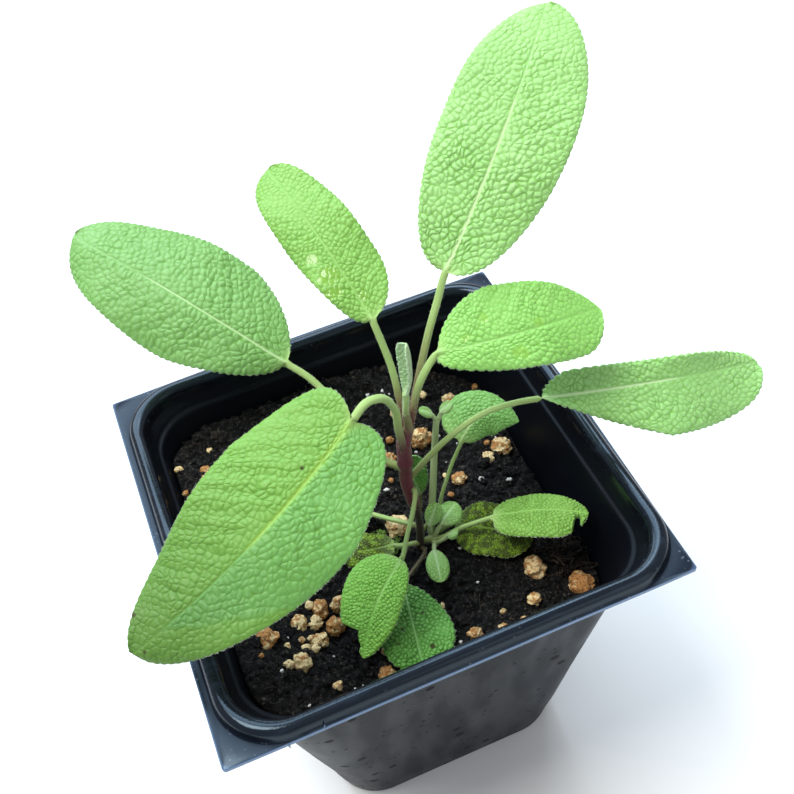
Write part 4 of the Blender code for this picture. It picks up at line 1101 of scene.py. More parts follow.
LEAVES = (
    Leaf(
        "leaf_front_left",
        (
            (5.4, -4.7, 11.0), (5.1, -5.3, 14.0), (4.9, -5.0, 18.5), (4.8, -5.1, 23.5), (2.8, -6.0, 28.5),
            (-0.8, -7.5, 30.8), (-4.1, -9.0, 29.5),
        ),
        (-51.9, -23.8, 10.4), 29.2, Foliage.FRONT, (0.8, 0.75),
        arch=1.5, sweep=-2.4, wave=0.9, cup=-0.09, roll=-18.0, widest=0.3, foot_power=1.4, tip_power=1.76,
        uneven=0.06, lobes=(11.6, 16.0), relief=0.24, wrinkle=0.13, vein_gap=4.6, scallop=0.16,
        rib_reach=0.55, rib_widths=(0.75, 0.3), rib_share=0.6, rib_edge=2.0,
        spots=((0.93, 5.2, 0.8), (0.965, -1.0, 0.6), (0.9, 9.0, 0.5), (0.215, 2.0, 0.7)),
    ),
    Leaf(
        "leaf_back_tall",
        (
            (6.3, -4.5, 13.4), (7.9, -3.3, 16.8), (10.4, -0.6, 20.8), (15.4, 4.0, 28.5), (18.9, 6.7, 33.5),
            (22.0, 9.0, 38.0),
        ),
        (57.8, 39.2, 64.7), 24.9, Foliage.TALL, (0.74, 0.7),
        arch=3.0, sweep=1.5, wave=0.7, cup=-0.03, roll=10.0, widest=0.5, skew=0.03, foot_power=1.9,
        tip_power=2.05,
        uneven=0.02, lobes=(3.6, 2.8), relief=0.46, rib_widths=(0.4, 0.13), rib_reach=0.68, rib_share=0.9,
        smooth_tip=0.5,
    ),
    Leaf(
        "leaf_left",
        (
            (5.2, -4.7, 5.6), (3.9, -4.3, 6.6), (1.8, -2.2, 7.6), (-0.2, 1.6, 10.6), (-2.1, 6.0, 14.4),
            (-5.5, 12.4, 19.2), (-9.1, 16.6, 22.0),
        ),
        (-38.5, 54.8, 37.2), 25.2, Foliage.LEFT, (0.75, 0.65),
        arch=4.0, sweep=-0.8, wave=0.8, cup=-0.27, roll=-13.7, widest=0.38, skew=-0.05, foot_power=1.6,
        tip_power=2.25,
        uneven=0.13, cell=1.3, relief=0.34, scallop=0.34, rib_widths=(0.26, 0.09), rib_share=0.85,
    ),
    Leaf(
        "leaf_far_right",
        (
            (5.1, -5.0, 1.8), (7.3, -4.7, 3.8), (14.0, -3.9, 8.2), (21.7, -3.0, 10.5), (27.5, -4.2, 12.0),
            (33.3, -6.4, 13.0),
        ),
        (74.2, -15.9, 11.7), 15.0, Foliage.FAR, (0.6, 0.58),
        arch=2.0, sweep=0.6, wave=1.1, cup=0.12, roll=38.2, widest=0.35, skew=0.18, foot_power=1.05,
        tip_power=2.6,
        uneven=0.39, lobes=(8.4, 0.0), cell=1.05, relief=0.38, wrinkle=0.1, scallop=0.34,
    ),
    Leaf(
        "leaf_back_left",
        ((6.2, -4.4, 14.2), (6.7, -2.9, 17.5), (7.1, -0.4, 22.0), (7.3, 2.4, 27.0), (6.4, 6.7, 35.0)),
        (0.2, 42.1, 46.8), 13.9, Foliage.BACK, (0.72, 0.65),
        arch=2.5, sweep=0.4, wave=0.6, cup=-0.05, roll=-12.3, widest=0.43, skew=-0.14, foot_power=2.0,
        tip_power=2.7,
        uneven=0.09, lobes=(0.7, 0.0), cell=0.95, relief=0.28, vein_gap=3.4, step=0.23, rib_share=0.12,
        wet=((0.28, -2.6, 3.8), (0.2, -3.4, 2.6), (0.4, -3.6, 2.2), (0.12, 0.8, 1.6)),
    ),
    Leaf(
        "leaf_right", ((6.6, -4.4, 14.6), (8.2, -3.6, 18.4), (11.0, -2.0, 24.5), (15.5, -0.8, 29.0)),
        (45.9, -4.2, 29.1), 17.2, Foliage.RIGHT, (0.74, 0.68),
        arch=3.0, sweep=1.1, wave=0.5, cup=-0.06, roll=31.0, widest=0.61, skew=0.22, foot_power=1.86,
        tip_power=1.8,
        uneven=-0.16, lobes=(0.2, 5.6), cell=0.95, relief=0.28, vein_gap=3.8, step=0.23, rib_share=0.12,
        wet=((0.45, 3.4, 2.4), (0.3, -4.2, 1.8), (0.6, -1.0, 1.6), (0.16, -1.4, 1.6)),
    ),
    Leaf(
        "leaf_behind_right",
        (
            (5.8, -6.6, -14.0), (10.6, -4.4, -12.2), (12.6, -2.9, -9.0), (15.8, -1.2, -3.5),
            (18.7, -0.4, 1.5),
        ),
        (30.6, -1.8, 2.5), 11.1, Foliage.BEHIND, (0.4, 0.36),
        arch=1.6, sweep=-3.3, cup=-0.3, roll=22.0, widest=0.52, skew=0.2, foot_power=2.5, tip_power=1.3,
        uneven=-0.26, lobes=(0.5, 0.7), cell=0.75, relief=0.24, vein_gap=2.8, step=0.18, scallop=0.16,
        scallop_pitch=0.9,
    ),
    Leaf(
        "leaf_low_front",
        ((4.9, -5.4, -1.0), (5.7, -7.1, 0.8), (3.6, -10.5, -0.6), (1.0, -13.4, -2.8), (-1.6, -16.4, -5.5)),
        (-15.3, -29.1, -11.8), 12.2, Foliage.LOW, (0.48, 0.46),
        arch=1.6, sweep=1.1, cup=-0.03, roll=-4.0, widest=0.46, skew=-0.1, foot_power=2.1, tip_power=1.7,
        uneven=0.22, bites=((1, 0.76, 1.0, 0.6),),
        cell=0.7, relief=0.28, wrinkle=0.0, vein_gap=2.8, step=0.18, scallop=0.2, scallop_pitch=1.0,
        rib_share=0.3,
    ),
    Leaf(
        "leaf_low_right",
        ((5.4, -8.3, -14.6), (9.2, -9.9, -13.6), (13.2, -10.4, -12.2), (19.2, -13.2, -8.6)),
        (35.4, -22.0, -6.5), 12.4, Foliage.DEEP, (0.55, 0.5),
        arch=1.2, sweep=-0.3, cup=-0.18, roll=-13.0, widest=0.62, skew=0.06, foot_power=2.8, tip_power=1.75,
        lobes=(1.2, 0.8), bites=((1, 0.865, 0.93, 0.75),),
        cell=0.8, relief=0.46, wrinkle=0.0, vein_gap=2.6, step=0.18, scallop=0.2, scallop_pitch=0.9,
        rib_share=0.08,
    ),
    Leaf(
        "leaf_old_right",
        ((5.6, -8.2, -15.0), (9.1, -7.7, -14.7), (10.8, -7.2, -14.8), (13.2, -7.2, -14.8)),
        (26.0, -17.2, -14.8), 13.0, Foliage.OLD, (0.5, 0.5),
        arch=0.5, wave=0.3, widest=0.45, foot_power=2.3, cell=0.55, relief=0.4, vein_gap=2.8, step=0.18,
    ),
    Leaf(
        "leaf_dark_front",
        ((4.8, -9.4, -15.2), (4.6, -11.2, -14.8), (1.2, -13.8, -14.4), (-2.2, -16.0, -14.6)),
        (-5.6, -34.6, -14.4), 14.0, Foliage.DARK, (0.42, 0.42),
        arch=0.7, cup=0.08, widest=0.64, foot_power=1.5, uneven=-0.05, scallop=0.32, scallop_pitch=1.6,
        cell=0.85, relief=0.42, vein_gap=3.0, step=0.2, rib_reach=0.95, rib_widths=(0.2, 0.1),
        spots=((0.8, -2.6, 0.9), (0.55, 2.2, 0.6), (0.7, 3.6, 0.5), (0.42, -2.4, 0.5), (0.62, -1.2, 0.4)),
    ),
    Leaf(
        "leaf_low_left", ((5.2, -7.6, -10.2), (3.6, -6.6, -9.6), (0.4, -3.2, -10.2), (-2.0, 0.8, -12.2)),
        (-15.0, 12.0, -13.2), 10.0, Foliage.DEEP, (0.55, 0.5),
        arch=1.2, cup=-0.1, foot_power=2.2, cell=0.7, relief=0.22, vein_gap=2.6, step=0.22,
    ),
    Leaf(
        "leaf_old_front",
        ((4.4, -8.6, -14.2), (2.65, -8.4, -13.9), (1.0, -8.0, -13.8), (-0.4, -7.4, -13.9)),
        (-11.0, -5.0, -13.9), 8.0, Foliage.OLD, (0.5, 0.5),
        arch=0.5, wave=0.3, foot_power=2.3, cell=0.6, relief=0.26, vein_gap=2.4, step=0.2,
    ),
    Leaf(
        "leaf_folded_dark", ((5.3, -7.2, -12.0), (6.2, -5.5, -10.6), (7.1, -3.6, -9.2), (7.9, -2.3, -7.6)),
        (7.9, 0.3, 2.2), 5.0, Foliage.DARK, (0.5, 0.5),
        arch=-0.6, cup=0.7, roll=20.0, cell=0.6, relief=0.12, vein_gap=2.0, step=0.18, rib_reach=1.0,
    ),
    Leaf(
        "leaf_apex_outer", ((7.0, -3.9, 19.4), (7.0, -4.0, 20.9), (7.2, -4.3, 23.5), (7.4, -4.5, 25.5)),
        (8.6, -4.4, 38.0), 4.4, Foliage.DOWNY, (0.6, 0.65),
        arch=-0.8, cup=0.75, widest=0.66, foot_power=1.7, tip_power=2.6,
        cell=0.65, relief=0.22, vein_gap=2.2, step=0.17, scallop=0.1, scallop_pitch=0.8,
    ),
)


@dataclass
class MainStem:
    """The short main stem, from its root in the soil to the growing tip."""

    route: tuple[tuple[Triple, float], ...] = (
        ((4.7, -8.6, -25.0), 1.2),
        ((4.7, -8.6, -16.0), 0.85),
        ((5.5, -7.4, -8.0), 0.75),
        ((4.9, -5.0, 1.0), 1.26),
        ((5.3, -4.6, 8.0), 1.36),
        ((5.7, -4.5, 13.5), 1.4),
        ((7.0, -4.3, 16.5), 0.85),
        ((7.0, -3.9, 20.0), 0.70),
    )
    nodes: tuple[float, ...] = (0.36, 0.56, 0.83)
    sides: int = 24
    steps: int = 14

    def build(self) -> Shape:
        """Make the stem, a little square in section and swollen at its nodes."""
        points = np.array([point for point, _ in self.route])
        radii = np.array([radius for _, radius in self.route])
        line = smooth_route(points, self.steps)
        places = np.linspace(0.0, len(radii) - 1.0, len(line))
        thick = np.interp(places, np.arange(len(radii)), radii)
        along = np.linspace(0.0, 1.0, len(line))
        for node in self.nodes:
            thick = thick * (1.0 + 0.16 * np.exp(-((along - node) / 0.022) ** 2))
        shape = tube(line, thick, self.sides, (0.0, 1.0, 0.0))
        centres = np.repeat(line, self.sides, axis=0)
        angle = np.tile(math.tau * np.arange(self.sides) / self.sides, len(line))
        ridge = 1.0 + 0.05 * np.cos(4.0 * angle)
        ridge = ridge + 0.03 * smooth_noise(angle * 2.0, shape.masks["along"] * 40.0, 9)
        shape.points = centres + (shape.points - centres) * ridge[:, None]
        return shape

    def place(self) -> bpy.types.Object:
        """Put the stem in the scene in place of its plain solid."""
        piece = self.build().make("fine_stem", StemFinish().material())
        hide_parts("main_stem")
        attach(piece, BODY)
        return piece


@dataclass
class YoungShoots:
    """The shoots at the stem's foot: a tall pale one with small leaves, and a low cluster."""

    shoot: tuple[Triple, ...] = (
        (7.7, -7.4, -14.2), (8.9, -5.3, -12.0), (12.0, -1.8, 1.0), (13.8, -0.6, 11.0),
    )
    crown: tuple[Triple, ...] = ((7.3, -10.6, -14.4), (7.5, -9.0, -14.4), (7.7, -7.2, -14.3))
    shoot_radii: tuple[float, float] = (0.85, 0.6)
    crown_radius: float = 0.7

    def leaves(self) -> list[Leaf]:
        """List the small leaves, which share a fine texture."""
        plans = (
            (
                ((13.7, -0.7, 10.2), (13.6, -0.5, 11.4), (13.2, -0.2, 12.1)),
                (11.0, 0.8, 14.0), 2.4, 0.45, 0.3, 0.2,
            ),
            (
                ((13.9, -0.6, 10.2), (14.5, -0.4, 11.2), (15.0, -0.2, 11.8)),
                (17.8, 0.8, 12.6), 2.4, 0.45, 0.3, 0.2,
            ),
            (
                ((7.6, -8.0, -14.2), (7.5, -7.8, -12.8), (7.6, -7.4, -11.8)),
                (10.4, -5.2, -8.4), 3.6, 0.5, 0.3, 0.15,
            ),
            (
                ((7.6, -8.9, -14.2), (8.8, -8.5, -12.6), (9.8, -8.2, -11.8)),
                (14.4, -5.4, -10.6), 5.6, 0.5, 0.5, -0.15,
            ),
            (
                ((7.4, -10.3, -14.2), (8.6, -11.3, -12.4), (9.7, -11.8, -11.2)),
                (11.5, -12.9, -9.4), 2.2, 0.4, 0.2, 0.0,
            ),
            (
                ((7.3, -10.2, -14.3), (6.6, -11.6, -13.0), (6.2, -12.6, -12.6)),
                (4.5, -19.9, -12.8), 4.6, 0.45, 0.8, -0.15,
            ),
        )
        return [
            Leaf(
                "young_leaf", stalk, tip, width, Foliage.YOUNG, (thick, thick), arch=arch, cup=cup,
                cell=0.7, relief=0.1, vein_gap=1.8, step=0.17, scallop=0.1, scallop_pitch=0.7,
                thickness=0.3,
                stalk_sides=10, rib_reach=0.95,
            )
            for stalk, tip, width, thick, arch, cup in plans
        ]

    def build(self) -> Shape:
        """Make the shoots and their leaves as one shape."""
        leaves = [leaf.build() for leaf in self.leaves()]
        stems = []
        for points, (start, end) in (
            (self.shoot, self.shoot_radii), (self.crown, (self.crown_radius, self.crown_radius)),
        ):
            line = smooth_route(np.array(points), 12)
            stem = tube(line, np.linspace(start, end, len(line)), 14)
            along = stem.masks["along"]
            stem.masks = {name: np.zeros(len(along)) for name in leaves[0].masks}
            stem.masks["stalk"] = np.ones(len(along))
            stem.masks["foot"] = 1.0 - along
            stems.append(stem)
        return Shape.joined([*stems, *leaves])

    def place(self) -> bpy.types.Object:
        """Put the shoots in the scene in place of their plain solid."""
        piece = self.build().make("fine_shoots", Foliage.YOUNG.finish.material())
        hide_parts("basal_shoots")
        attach(piece, BODY)
        return piece


@dataclass
class Down:
    """Fine hairs on the stalks and along the blades' margins."""

    stalk_density: float = 14.0
    margin_density: float = 6.0
    length: float = 0.32
    root: float = 0.02
    seed: int = 5

    def hairs(self, roots: Array, ways: Array, lengths: Array) -> Shape:
        """Make one three-sided spike for each hair.

        Args:
            roots: Where the hairs grow.
            ways: The directions they point in.
            lengths: How long they are.

        Returns:
            The hairs as one shape.
        """
        ways = ways / np.linalg.norm(ways, axis=1)[:, None]
        helper = np.where(np.abs(ways[:, 2:]) > 0.9, (1.0, 0.0, 0.0), (0.0, 0.0, 1.0))
        first = np.cross(ways, helper)
        first /= np.linalg.norm(first, axis=1)[:, None]
        second = np.cross(ways, first)
        corners = []
        for index in range(3):
            angle = math.tau * index / 3
            corners.append(roots + self.root * (first * math.cos(angle) + second * math.sin(angle)))
        corners.append(roots + ways * lengths[:, None])
        points = np.stack(corners, axis=1).reshape(-1, 3)
        base = (np.arange(len(roots)) * 4)[:, None]
        faces = np.vstack([base + np.array(face) for face in ((0, 1, 3), (1, 2, 3), (2, 0, 3), (0, 2, 1))])
        return Shape(points, [faces], {"along": np.tile((0.0, 0.0, 0.0, 1.0), len(roots))})

    def build(self, leaves: tuple[Leaf, ...]) -> Shape:
        """Scatter hairs over the stalks and margins of the leaves.

        Args:
            leaves: Leaves that have been built.

        Returns:
            All the hairs.
        """
        draw = np.random.default_rng(self.seed)
        roots, ways = [], []
        for leaf in leaves:
            line, normals, across, radii = leaf.stalk_frames
            reach = float(np.linalg.norm(np.diff(line, axis=0), axis=1).sum())
            count = int(reach * self.stalk_density)
            place = draw.integers(1, len(line) - 1, count)
            shift = draw.uniform(0.0, 1.0, count)[:, None]
            angle = draw.uniform(0.0, math.tau, count)[:, None]
            out = normals[place] * np.sin(angle) + across[place] * np.cos(angle)
            centre = line[place] * (1.0 - shift) + line[place + 1] * shift
            roots.append(centre + out * radii[place][:, None] * 0.96)
            ways.append(out + 0.5 * draw.normal(0.0, 0.6, (count, 3)))
            grid = leaf.margin_points
            for column in (0, -1):
                edge, inner = grid[:, column], grid[:, column + (3 if column == 0 else -3)]
                span = float(np.linalg.norm(np.diff(edge, axis=0), axis=1).sum())
                count = int(span * self.margin_density)
                place = draw.integers(2, len(edge) - 2, count)
                shift = draw.uniform(0.0, 1.0, count)[:, None]
                out = edge[place] - inner[place]
                out /= np.linalg.norm(out, axis=1)[:, None]
                roots.append(edge[place] * (1.0 - shift) + edge[place + 1] * shift - 0.05 * out)
                ways.append(out + 0.35 * draw.normal(0.0, 0.8, (count, 3)))
        roots, ways = np.vstack(roots), np.vstack(ways)
        lengths = self.length * draw.uniform(0.55, 1.25, len(roots))
        return self.hairs(roots, ways, lengths)

    def place(self, leaves: tuple[Leaf, ...]) -> bpy.types.Object:
        """Put the hairs in the scene."""
        piece = self.build(leaves).make("leaf_down", DownFinish().material(), 30.0)
        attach(piece, BODY)
        return piece


# The pot and its filling


def rounded_square(half: float, radius: float, corner_steps: int, edge_steps: int) -> Array:
    """List the points of a square with round corners, anticlockwise, starting on the +X side.

    Args:
        half: Half its width.
        radius: Its corners' radius.
        corner_steps: Spans in each corner.
        edge_steps: Spans in each straight side.

    Returns:
        Points in the plane, one to a row.
    """
    centre = half - radius
    turns = np.radians(90.0 * np.arange(corner_steps + 1) / corner_steps)
    corner = np.stack([centre + radius * np.cos(turns), centre + radius * np.sin(turns)], axis=1)
    side = np.linspace(0.0, 1.0, edge_steps + 1)[1:-1, None]
    turned = np.array((-corner[0][1], corner[0][0]))
    quarter = np.vstack([corner, corner[-1] * (1.0 - side) + turned * side])
    points = [quarter]
    for _ in range(3):
        quarter = np.stack([-quarter[:, 1], quarter[:, 0]], axis=1)
        points.append(quarter)
    return np.vstack(points)


@dataclass
class Pot:
    """A thin formed shell: flat flange, hollow raised rim, ledge, tapered wall and drilled floor."""

    flange_half: float = 44.5
    flange_corner: float = 0.6
    shift: tuple[float, float] = (0.6, -0.6)
    rim_half: float = 43.4
    rim_radius: float = 11.5
    rim_width: float = 3.2
    rim_height: float = 2.6
    wall: float = 0.8
    ledge_depth: float = 3.2
    top_half: float = 38.3
    top_radius: float = 10.4
    foot_half: float = 26.6
    foot_radius: float = 10.2
    foot_height: float = -76.0
    drain_radius: float = 4.5
    drain_place: float = 15.0
    corner_steps: int = 18
    edge_steps: int = 16
    wall_steps: int = 12
    tongues: tuple[tuple[tuple[Triple, ...], tuple[float, float]], ...] = (
        (((-33.0, -44.3, -0.3), (-33.05, -44.5, -1.0), (-32.95, -44.45, -1.9)), (0.28, 0.08)),
        (((-26.6, -44.3, -0.3), (-26.55, -44.45, 0.3), (-26.4, -44.45, 1.0)), (0.26, 0.08)),
    )

    MASKS = ("outside", "shelf", "ridge")
    BOWED = (-70.0, -12.0)
    BEAD_RIDGE = 0.7

    def taper(self, first: int, out: float, start: float, drop: float) -> list[Triple]:
        """List half-width, corner radius and height down the tapered wall.

        Args:
            first: The wall's step to start from.
            out: How far outside the inner face it runs.
            start: How far under the ledge it starts.
            drop: How much its height is drawn in.

        Returns:
            The rows, from the top.
        """
        rows = []
        for step in range(first, self.wall_steps + 1):
            part = step / self.wall_steps
            rows.append((
                self.top_half + out + (self.foot_half - self.top_half) * part,
                self.top_radius + out + (self.foot_radius - self.top_radius) * part,
                -self.ledge_depth - start + (self.foot_height + self.ledge_depth + drop) * part,
            ))
        return rows

    def inner_profile(self) -> list[Triple]:
        """List the same down the upper side, from the flange's edge to the floor."""
        rim, top, foot, ledge = self.rim_half, self.top_half, self.foot_half, -self.ledge_depth
        rows = [
            (self.flange_half, self.flange_corner, -0.12),
            (self.flange_half - 0.12, self.flange_corner, 0.0),
            (rim + 0.35, self.rim_radius + 0.3, 0.0),
        ]
        bead = rim - 0.5 * self.rim_width
        for step in range(15):
            angle = math.pi * (0.04 + 0.92 * step / 14)
            lift = self.rim_height * math.sin(angle) ** 0.62
            half = bead + 0.5 * self.rim_width * math.cos(angle)
            rows.append((half, self.rim_radius - 0.55 * (rim - half), lift))
        rows.append((rim - self.rim_width - 0.12, self.rim_radius - 1.8, -1.0))
        rows.append((top + 1.1, self.top_radius + 0.3, 0.9 - self.ledge_depth))
        for step in range(5):
            angle = 0.5 * math.pi * step / 4
            half = top + 1.0 - 0.7 * (1.0 - math.cos(angle))
            rows.append((half, self.top_radius + 0.25, 0.6 - self.ledge_depth - 0.7 * math.sin(angle)))
        return [
            *rows,
            (top + 0.05, self.top_radius, ledge - 0.35),
            (top - 0.08, self.top_radius, ledge - 1.0),
            *self.taper(1, 0.0, 0.6, 0.6),
            (foot - 0.35, self.foot_radius - 0.3, self.foot_height - 0.75),
            (foot - 1.3, self.foot_radius - 1.0, self.wall - POT_HEIGHT),
        ]

    def outer_profile(self) -> list[Triple]:
        """List the same down the under side, from the flange's edge to the base."""
        rim, top, foot, ledge = self.rim_half, self.top_half, self.foot_half, -self.ledge_depth
        return [
            (self.flange_half, self.flange_corner, -self.wall),
            (rim - 0.8, self.rim_radius - 0.8, -self.wall),
            (rim - 1.2, self.rim_radius - 0.9, self.rim_height - 1.3),
            (rim - 2.2, self.rim_radius - 0.9, self.rim_height - 1.3),
            (rim - 2.8, self.rim_radius - 0.9, -0.4),
            (top + 1.95, self.top_radius + 1.2, 0.6 - self.ledge_depth),
            (top + 1.55, self.top_radius + 1.0, ledge - 0.5),
            (top + 0.95, self.top_radius + 0.85, ledge - 1.0),
            *self.taper(0, self.wall, 1.4, 0.8),
            (foot + 0.35, self.foot_radius + 0.35, self.foot_height - 1.3),
            (foot - 0.25, self.foot_radius - 0.2, self.foot_height - 1.85),
            (foot - 0.9, self.foot_radius - 0.8, -POT_HEIGHT),
        ]

    def build(self) -> Shape:
        """Make the shell, slightly uneven as formed sheet is, with masks for its outside and its flange."""
        upper, under = self.inner_profile(), self.outer_profile()
        rings, marks = [], []
        for index, (half, radius, height) in enumerate([*reversed(upper), *under]):
            outline = rounded_square(half, radius, self.corner_steps, self.edge_steps)
            x, y = outline[:, 0], outline[:, 1]
            on_wall = self.BOWED[0] < height < self.BOWED[1]
            on_rim = half > self.rim_half - 5.0 and height > -3.0
            on_edge = half > self.flange_half - 0.2
            bow = 0.22 * smooth_noise(np.arctan2(y, x) * 1.6 + 9.0, np.full_like(x, height / 22.0), 13)
            sag = 0.16 * smooth_noise(x / 17.0 + 5.0, y / 17.0, 19)
            scale = 1.0 + bow * float(on_wall) / half
            x, y = x * scale, y * scale
            if on_edge:
                x = x + 0.7 * rise(x, 40.0, 44.0) * np.cos(0.5 * math.pi * y / self.flange_half) ** 2
                y = y + 0.7 * rise(y, 40.0, 44.0) * np.cos(0.5 * math.pi * x / self.flange_half) ** 2
            else:
                x, y = x + self.shift[0], y + self.shift[1]
            rings.append(np.stack([x, y, height + sag * float(on_rim)], axis=1))
            bead = self.BEAD_RIDGE if height > 0.4 else 0.0
            on_shelf = half > self.rim_half and height > -0.1
            # The ridge mask is 1 on the flange's edge, where the finish paints a highlight.
            marks.append((float(index > len(upper)), float(on_shelf), 1.0 if on_edge else bead))
        count = len(rings[0])
        ends = [np.arange(count)[None], (np.arange(count) + (len(rings) - 1) * count)[None]]
        masks = dict(zip(self.MASKS, np.repeat(np.array(marks).T, count, axis=1)))
        return Shape(np.vstack(rings), [ring_band(0, len(rings), count), *ends], masks)

    def drill(self, piece: bpy.types.Object) -> None:
        """Cut the four drain holes through the floor."""
        for x, y in ((1, 1), (-1, 1), (-1, -1), (1, -1)):
            centre = (self.shift[0] + x * self.drain_place, self.shift[1] + y * self.drain_place)
            line = np.array([(*centre, z - POT_HEIGHT) for z in (-2.0, 0.0, 3.0)])
            cutter = tube(line, np.full(3, self.drain_radius), 40).make("drill", piece.data.materials[0])
            cut = piece.modifiers.new("drain", "BOOLEAN")
            cut.operation = "DIFFERENCE"
            cut.object = cutter
            cut.solver = "EXACT"
            bpy.context.view_layer.update()
            drilled = piece.evaluated_get(bpy.context.evaluated_depsgraph_get())
            result = bpy.data.meshes.new_from_object(drilled)
            piece.modifiers.clear()
            piece.data = result
            bpy.data.objects.remove(cutter, do_unlink=True)

    def burrs(self) -> Shape:
        """Make the small tongues of plastic that the trimming left on the front edge."""
        shapes = []
        for route, radii in self.tongues:
            line = smooth_route(np.array(route), 5)
            burr = tube(line, np.linspace(*radii, len(line)), 8)
            # The burrs take the ridge mask too, so they carry the painted edge highlight.
            values = np.repeat([[1.0], [0.0], [1.0]], len(burr.points), axis=1)
            burr.masks = dict(zip(self.MASKS, values))
            shapes.append(burr)
        return Shape.joined(shapes)

    def place(self) -> list[bpy.types.Object]:
        """Put the pot in the scene in place of its plain solid, with its burrs."""
        piece = self.build().make("fine_pot", PotFinish().material(), 38.0)
        self.drill(piece)
        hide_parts("pot")
        burrs = self.burrs().make("pot_burrs", piece.data.materials[0])
        for item in (piece, burrs):
            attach(item, BODY)
        return [piece, burrs]


@dataclass(frozen=True)
class Litter:
    """One size of loose crumb on the bed."""

    count: int
    margin: float
    widths: tuple[float, float]
    darkness: float
    sink: float
    rough: float


@dataclass
class Soil:
    """The peat filling, with crumbs, clay granules, perlite, fibres and moss on it."""

    depth: float = 16.4
    clearance: float = 0.3
    shift: tuple[float, float] = (0.6, -0.6)
    left_bank: float = 10.0
    back_bank: float = 8.5
    right_dip: float = 5.0
    edge_drop: float = 1.2
    wall_top: tuple[float, float] = (38.3, -3.8)
    wall_foot: tuple[float, float] = (26.6, -76.0)
    radii: tuple[float, float] = (10.4, 10.2)
    floor: float = -76.9
    stem: tuple[float, float] = (4.7, -8.6)
    cells: int = 168
    seed: int = 12
    granules: tuple[Triple, ...] = (
        (15.7, 17.0, 5.2), (6.8, 14.3, 3.6), (25.9, 24.8, 3.4), (13.1, 23.8, 3.0), (32.1, 10.4, 4.2),
        (27.6, 8.5, 3.6),
        (18.9, 3.6, 3.0), (2.4, -2.0, 4.4), (23.7, -22.1, 5.0), (30.8, -28.4, 5.6), (6.3, -31.4, 3.4),
        (11.8, -33.0, 3.0),
        (-15.1, -14.5, 3.8), (-19.1, -14.2, 3.6), (-21.1, -16.7, 3.2), (-17.6, -18.8, 4.0),
        (-21.6, -20.8, 3.6),
        (-26.1, -25.3, 3.8), (-24.1, -16.3, 3.4), (-30.9, -19.2, 4.4), (-32.3, -14.9, 3.2),
        (-30.9, 21.7, 3.0),
        (-27.0, 25.5, 3.0), (-10.1, 6.5, 3.4), (3.5, 21.5, 3.0), (-12.1, -32.4, 3.4), (19.9, -29.2, 3.2),
        (33.8, 23.9, 3.2), (-31.8, -2.4, 3.4),
    )
    grains: tuple[tuple[float, float], ...] = (
        (9.1, 18.9), (34.0, 28.5), (20.5, 27.0), (29.4, 12.2), (5.5, 9.4), (15.7, 0.8), (16.6, 5.9),
        (0.5, -3.6),
        (10.8, -4.0), (13.2, -29.3), (3.2, -22.8), (16.5, -32.0), (-20.8, -13.0), (-22.9, -20.1),
        (-32.6, -22.8),
        (-31.1, -20.6), (-27.6, -21.2), (-24.6, -20.3), (-24.4, -22.2), (-22.8, -22.6), (-28.6, -25.6),
        (-21.6, -31.7),
        (-10.5, -27.4), (-35.8, 25.6), (-35.9, 19.0), (-30.6, 24.7), (-28.4, 30.9),
    )
    specks: tuple[tuple[float, float], ...] = (
        (8.7, 30.0), (12.0, 29.4), (3.6, 7.6), (20.3, 3.3), (23.5, 2.2), (29.3, 0.9), (4.5, -10.9),
    )
    litter: tuple[Litter, ...] = (
        Litter(4300, 0.4, (0.25, 0.85), 1.6, 0.0, 0.9),
        Litter(560, 1.0, (0.7, 1.5), 2.0, 0.08, 0.7),
        Litter(130, 1.2, (1.4, 2.6), 2.0, 0.15, 0.8),
    )
    clump: tuple[Triple, ...] = (
        (28.8, -20.6, 3.2), (32.6, -20.8, 4.6), (30.8, -22.6, 3.8), (34.0, -18.9, 3.0),
    )
    clump_fibres: int = 130
    moss_patches: tuple[Triple, ...] = (
        (-7.7, -3.2, 2.0), (0.0, -6.1, 1.8), (-1.9, -2.5, 1.6), (-13.0, 3.0, 1.4),
    )
    tuft_leaves: int = 90

    def half_at(self, height: float) -> float:
        """Half-width of the wall's inner face at a height."""
        (top, top_height), (foot, foot_height) = self.wall_top, self.wall_foot
        return top + (foot - top) * (top_height - height) / (top_height - foot_height)

    def radius_at(self, height: float) -> float:
        """Corner radius of the wall's inner face at a height."""
        part = (self.wall_top[1] - height) / (self.wall_top[1] - self.wall_foot[1])
        return self.radii[0] + (self.radii[1] - self.radii[0]) * part

    def level(self, x: Array, y: Array) -> Array:
        """Mean height of the bed: heaped at the left and the back, sunk at the right."""
        left = self.left_bank * rise(-x, 14.0, 38.0)
        back = self.back_bank * rise(y, 13.0, 38.0) * (1.0 - rise(x, 8.0, 34.0))
        dip = self.right_dip * rise(x, 16.0, 37.0) * (1.0 - 0.5 * rise(y, 5.0, 36.0))
        return np.maximum(left, back) - dip - self.depth

    def surface(self, x: Array, y: Array) -> Array:
        """Height of the bed's lumpy top.

        Args:
            x: Places along the front edge.
            y: Places away from the front.

        Returns:
            Heights above the flange, all below it.
        """
        near = np.exp(-((x - self.stem[0]) ** 2 + (y - self.stem[1]) ** 2) / 60.0)
        swell = 0.35 * np.sin(0.21 * x + 1.0) * np.cos(0.17 * y - 0.6)
        broad = 0.8 * smooth_noise(x / 7.0, y / 7.0, 31)
        first, second, _ = pebble_cells(x / 2.6 + 33.0, y / 2.6)
        clods = 1.1 * mound(first, 2) * (0.4 + 0.6 * rise(second - first, 0.0, 0.3))
        crumbs = 0.55 * mound(pebble_cells(x / 1.1 + 97.0, y / 1.1)[0], 2)
        grit = 0.3 * layered_noise(x / 0.9, y / 0.9, 41, 2)
        rough = (swell + broad + clods + crumbs + grit - 0.75) * (1.0 - 0.6 * near)
        return self.level(x, y) + rough

